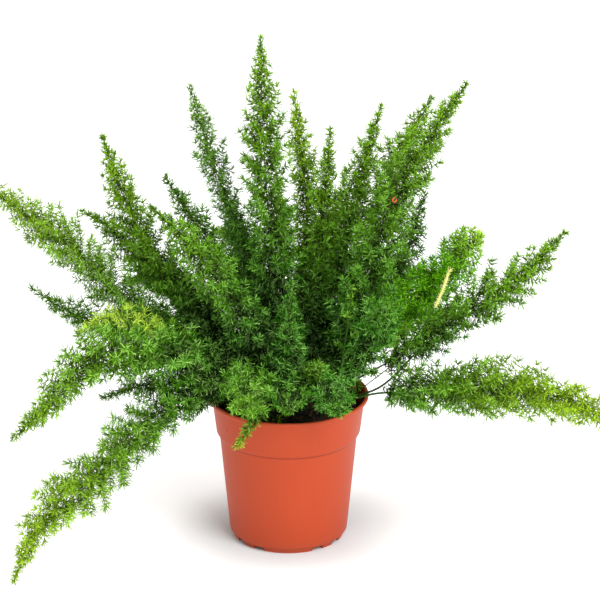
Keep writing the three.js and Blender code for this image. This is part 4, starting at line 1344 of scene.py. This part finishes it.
# %% [markdown]
# ## The withered shoot
# One young shoot on the right has dried before its leaves opened. It is a thin stem, green where the
# foliage hides it and straw yellow at the top, where dry scales stand off it and end in a small tuft. The
# stem model is bent along the shoot's route, and the needle model serves as a scale.

# %% Withered shoot
WITHERED_FOOT = (50, -6)
WITHERED_THROUGH = [(85, -16, 166), (97, -24, 180), (134, -62, 252), (147, -66, 290)]
WITHERED_SHAPE = [(0, 0.5), (0.78, 0.5), (0.82, 1.0), (0.95, 1.3), (1, 0.6)]  # share and radius
SCALES, TUFT = 120, 12
SCALES_FROM, SCALES_TO = 0.80, 0.985
SCALE_LEANS, TUFT_LEANS = (0.35, 1.1), (0.1, 0.6)
SCALE_LENGTHS, TUFT_LENGTHS = (1.8, 4.0), (3, 5.4)
SCALE_BEND = 0.2
SCALE_RADIUS = 0.5 * MM
STRAW_SPAN = (0.80, 0.815)
STRAW_TONES = (seen(212, 214, 112), seen(246, 246, 168))
STILL_GREEN = seen(50, 88, 16)

dry_finish, graph, shader, place = new_material("withered_shoot", Roughness=0.7, Specular_IOR_Level=0.2)
_, youth, chance, _ = growth_of(graph)
masks = add_mottle(graph, place, broad_scale=260, fine_scale=1800)
straw = graph.mix(graph.span(youth, *STRAW_SPAN), STILL_GREEN, graph.mix(masks["Broad"], *STRAW_TONES))
graph.put(vary_brightness(graph, straw, chance, amount=0.35), shader.inputs["Base Color"])
add_bump(graph, shader, masks["Fine"], strength=0.5, distance=0.2 * MM)

random = np.random.default_rng(77)
route = Route(WITHERED_FOOT, WITHERED_THROUGH)
batches = [stem_batch(route, lambda share: np.interp(share, *zip(*WITHERED_SHAPE)) * MM)]
shares = np.concatenate([np.linspace(SCALES_FROM, SCALES_TO, SCALES), np.full(TUFT, SCALES_TO)])
count = len(shares)
tuft = np.arange(count) >= SCALES
places = shares * route.length
ahead = route.at(places, route.directions)
across, over = square_to(ahead, route.at(places, route.across))
outward = turned(across, over, GOLDEN_ANGLE * np.arange(count))
lean = np.where(tuft, random.uniform(*TUFT_LEANS, count), random.uniform(*SCALE_LEANS, count))
length = np.where(tuft, random.uniform(*TUFT_LENGTHS, count), random.uniform(*SCALE_LENGTHS, count)) * MM
bend = outward * (SCALE_BEND * length)[:, None]
laid, faces = lay(needle_model, route.at(places, route.points), turned(ahead, outward, lean), length,
                  bend, np.full(count, SCALE_RADIUS), ahead)
growth = growth_values(1.0, shares[:, None], random.random((len(shares), 1)), needle_model[0][:, 2][None])
batches.append((laid.reshape(-1, 3), faces, growth, FLAT))
withered = build_piece("withered_young_shoot", batches)
give(withered, dry_finish)
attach(withered, "root")
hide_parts("withered_shoot")
print("withered shoot triangles:", triangles(withered))

# %% [markdown]
# ## A dry scale
# A dead orange scale leaf is caught in the tall plume on the right, curled into a ring about 6 mm across.
# It starts as a flat strip whose ends are drawn to points. The strip is stood on its edge and made solid,
# and a Simple Deform modifier bends it round Z, which is why it has to stand first.

# %% Dry scale
RING_PLACE = Vector((96.2, -51, 351.5)) * MM
RING_TURN = [math.radians(angle) for angle in (68, 40, -12)]
STRIP_LENGTH, STRIP_WIDTH, STRIP_THICKNESS = 13 * MM, 2.4 * MM, 1.3 * MM
STRIP_TAPER = ((0.3, 0.7), (0.38, 0.7), (0.46, 0.5))  # share of the length, and how much narrower
STRIP_CURL = math.radians(310)
STRIP_CREASE = math.radians(50)
RUST_TONES = (seen(160, 66, 26), seen(206, 104, 56))

let_go()
bpy.ops.mesh.primitive_grid_add(x_subdivisions=14, y_subdivisions=3, size=1)
scale_leaf = named("dry_scale_leaf")
bpy.ops.object.mode_set(mode="EDIT")
bpy.ops.transform.resize(value=(STRIP_LENGTH, STRIP_WIDTH, 1))
for reach, narrower in STRIP_TAPER:
    select_where(scale_leaf, "vertices", lambda co: abs(co.x) > reach * STRIP_LENGTH)
    bpy.ops.transform.resize(value=(1, narrower, 1), center_override=(0, 0, 0))
bpy.ops.object.mode_set(mode="OBJECT")
scale_leaf.rotation_euler = (math.radians(90), 0, 0)
settle(scale_leaf)
solid = scale_leaf.modifiers.new("thickness", "SOLIDIFY")
solid.thickness = STRIP_THICKNESS
curl = scale_leaf.modifiers.new("curl", "SIMPLE_DEFORM")
curl.deform_method = "BEND"
curl.deform_axis = "Z"
curl.angle = STRIP_CURL
apply_modifiers(scale_leaf)
bpy.ops.object.origin_set(type="ORIGIN_GEOMETRY", center="BOUNDS")
scale_leaf.location = RING_PLACE
scale_leaf.rotation_euler = RING_TURN
settle(scale_leaf)
bpy.ops.object.shade_smooth_by_angle(angle=STRIP_CREASE)
dead_leaf, graph, shader, place = new_material("dry_scale", Roughness=0.6, Specular_IOR_Level=0.2)
masks = add_mottle(graph, place, broad_scale=300, fine_scale=1500)
rust = graph.mix(masks["Broad"], *RUST_TONES)
graph.put(vary_brightness(graph, rust, masks["Fine"], amount=0.5), shader.inputs["Base Color"])
add_bump(graph, shader, masks["Fine"], strength=0.4, distance=0.2 * MM)
give(scale_leaf, dead_leaf)
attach(scale_leaf, "root")
print("dry scale triangles:", triangles(scale_leaf))
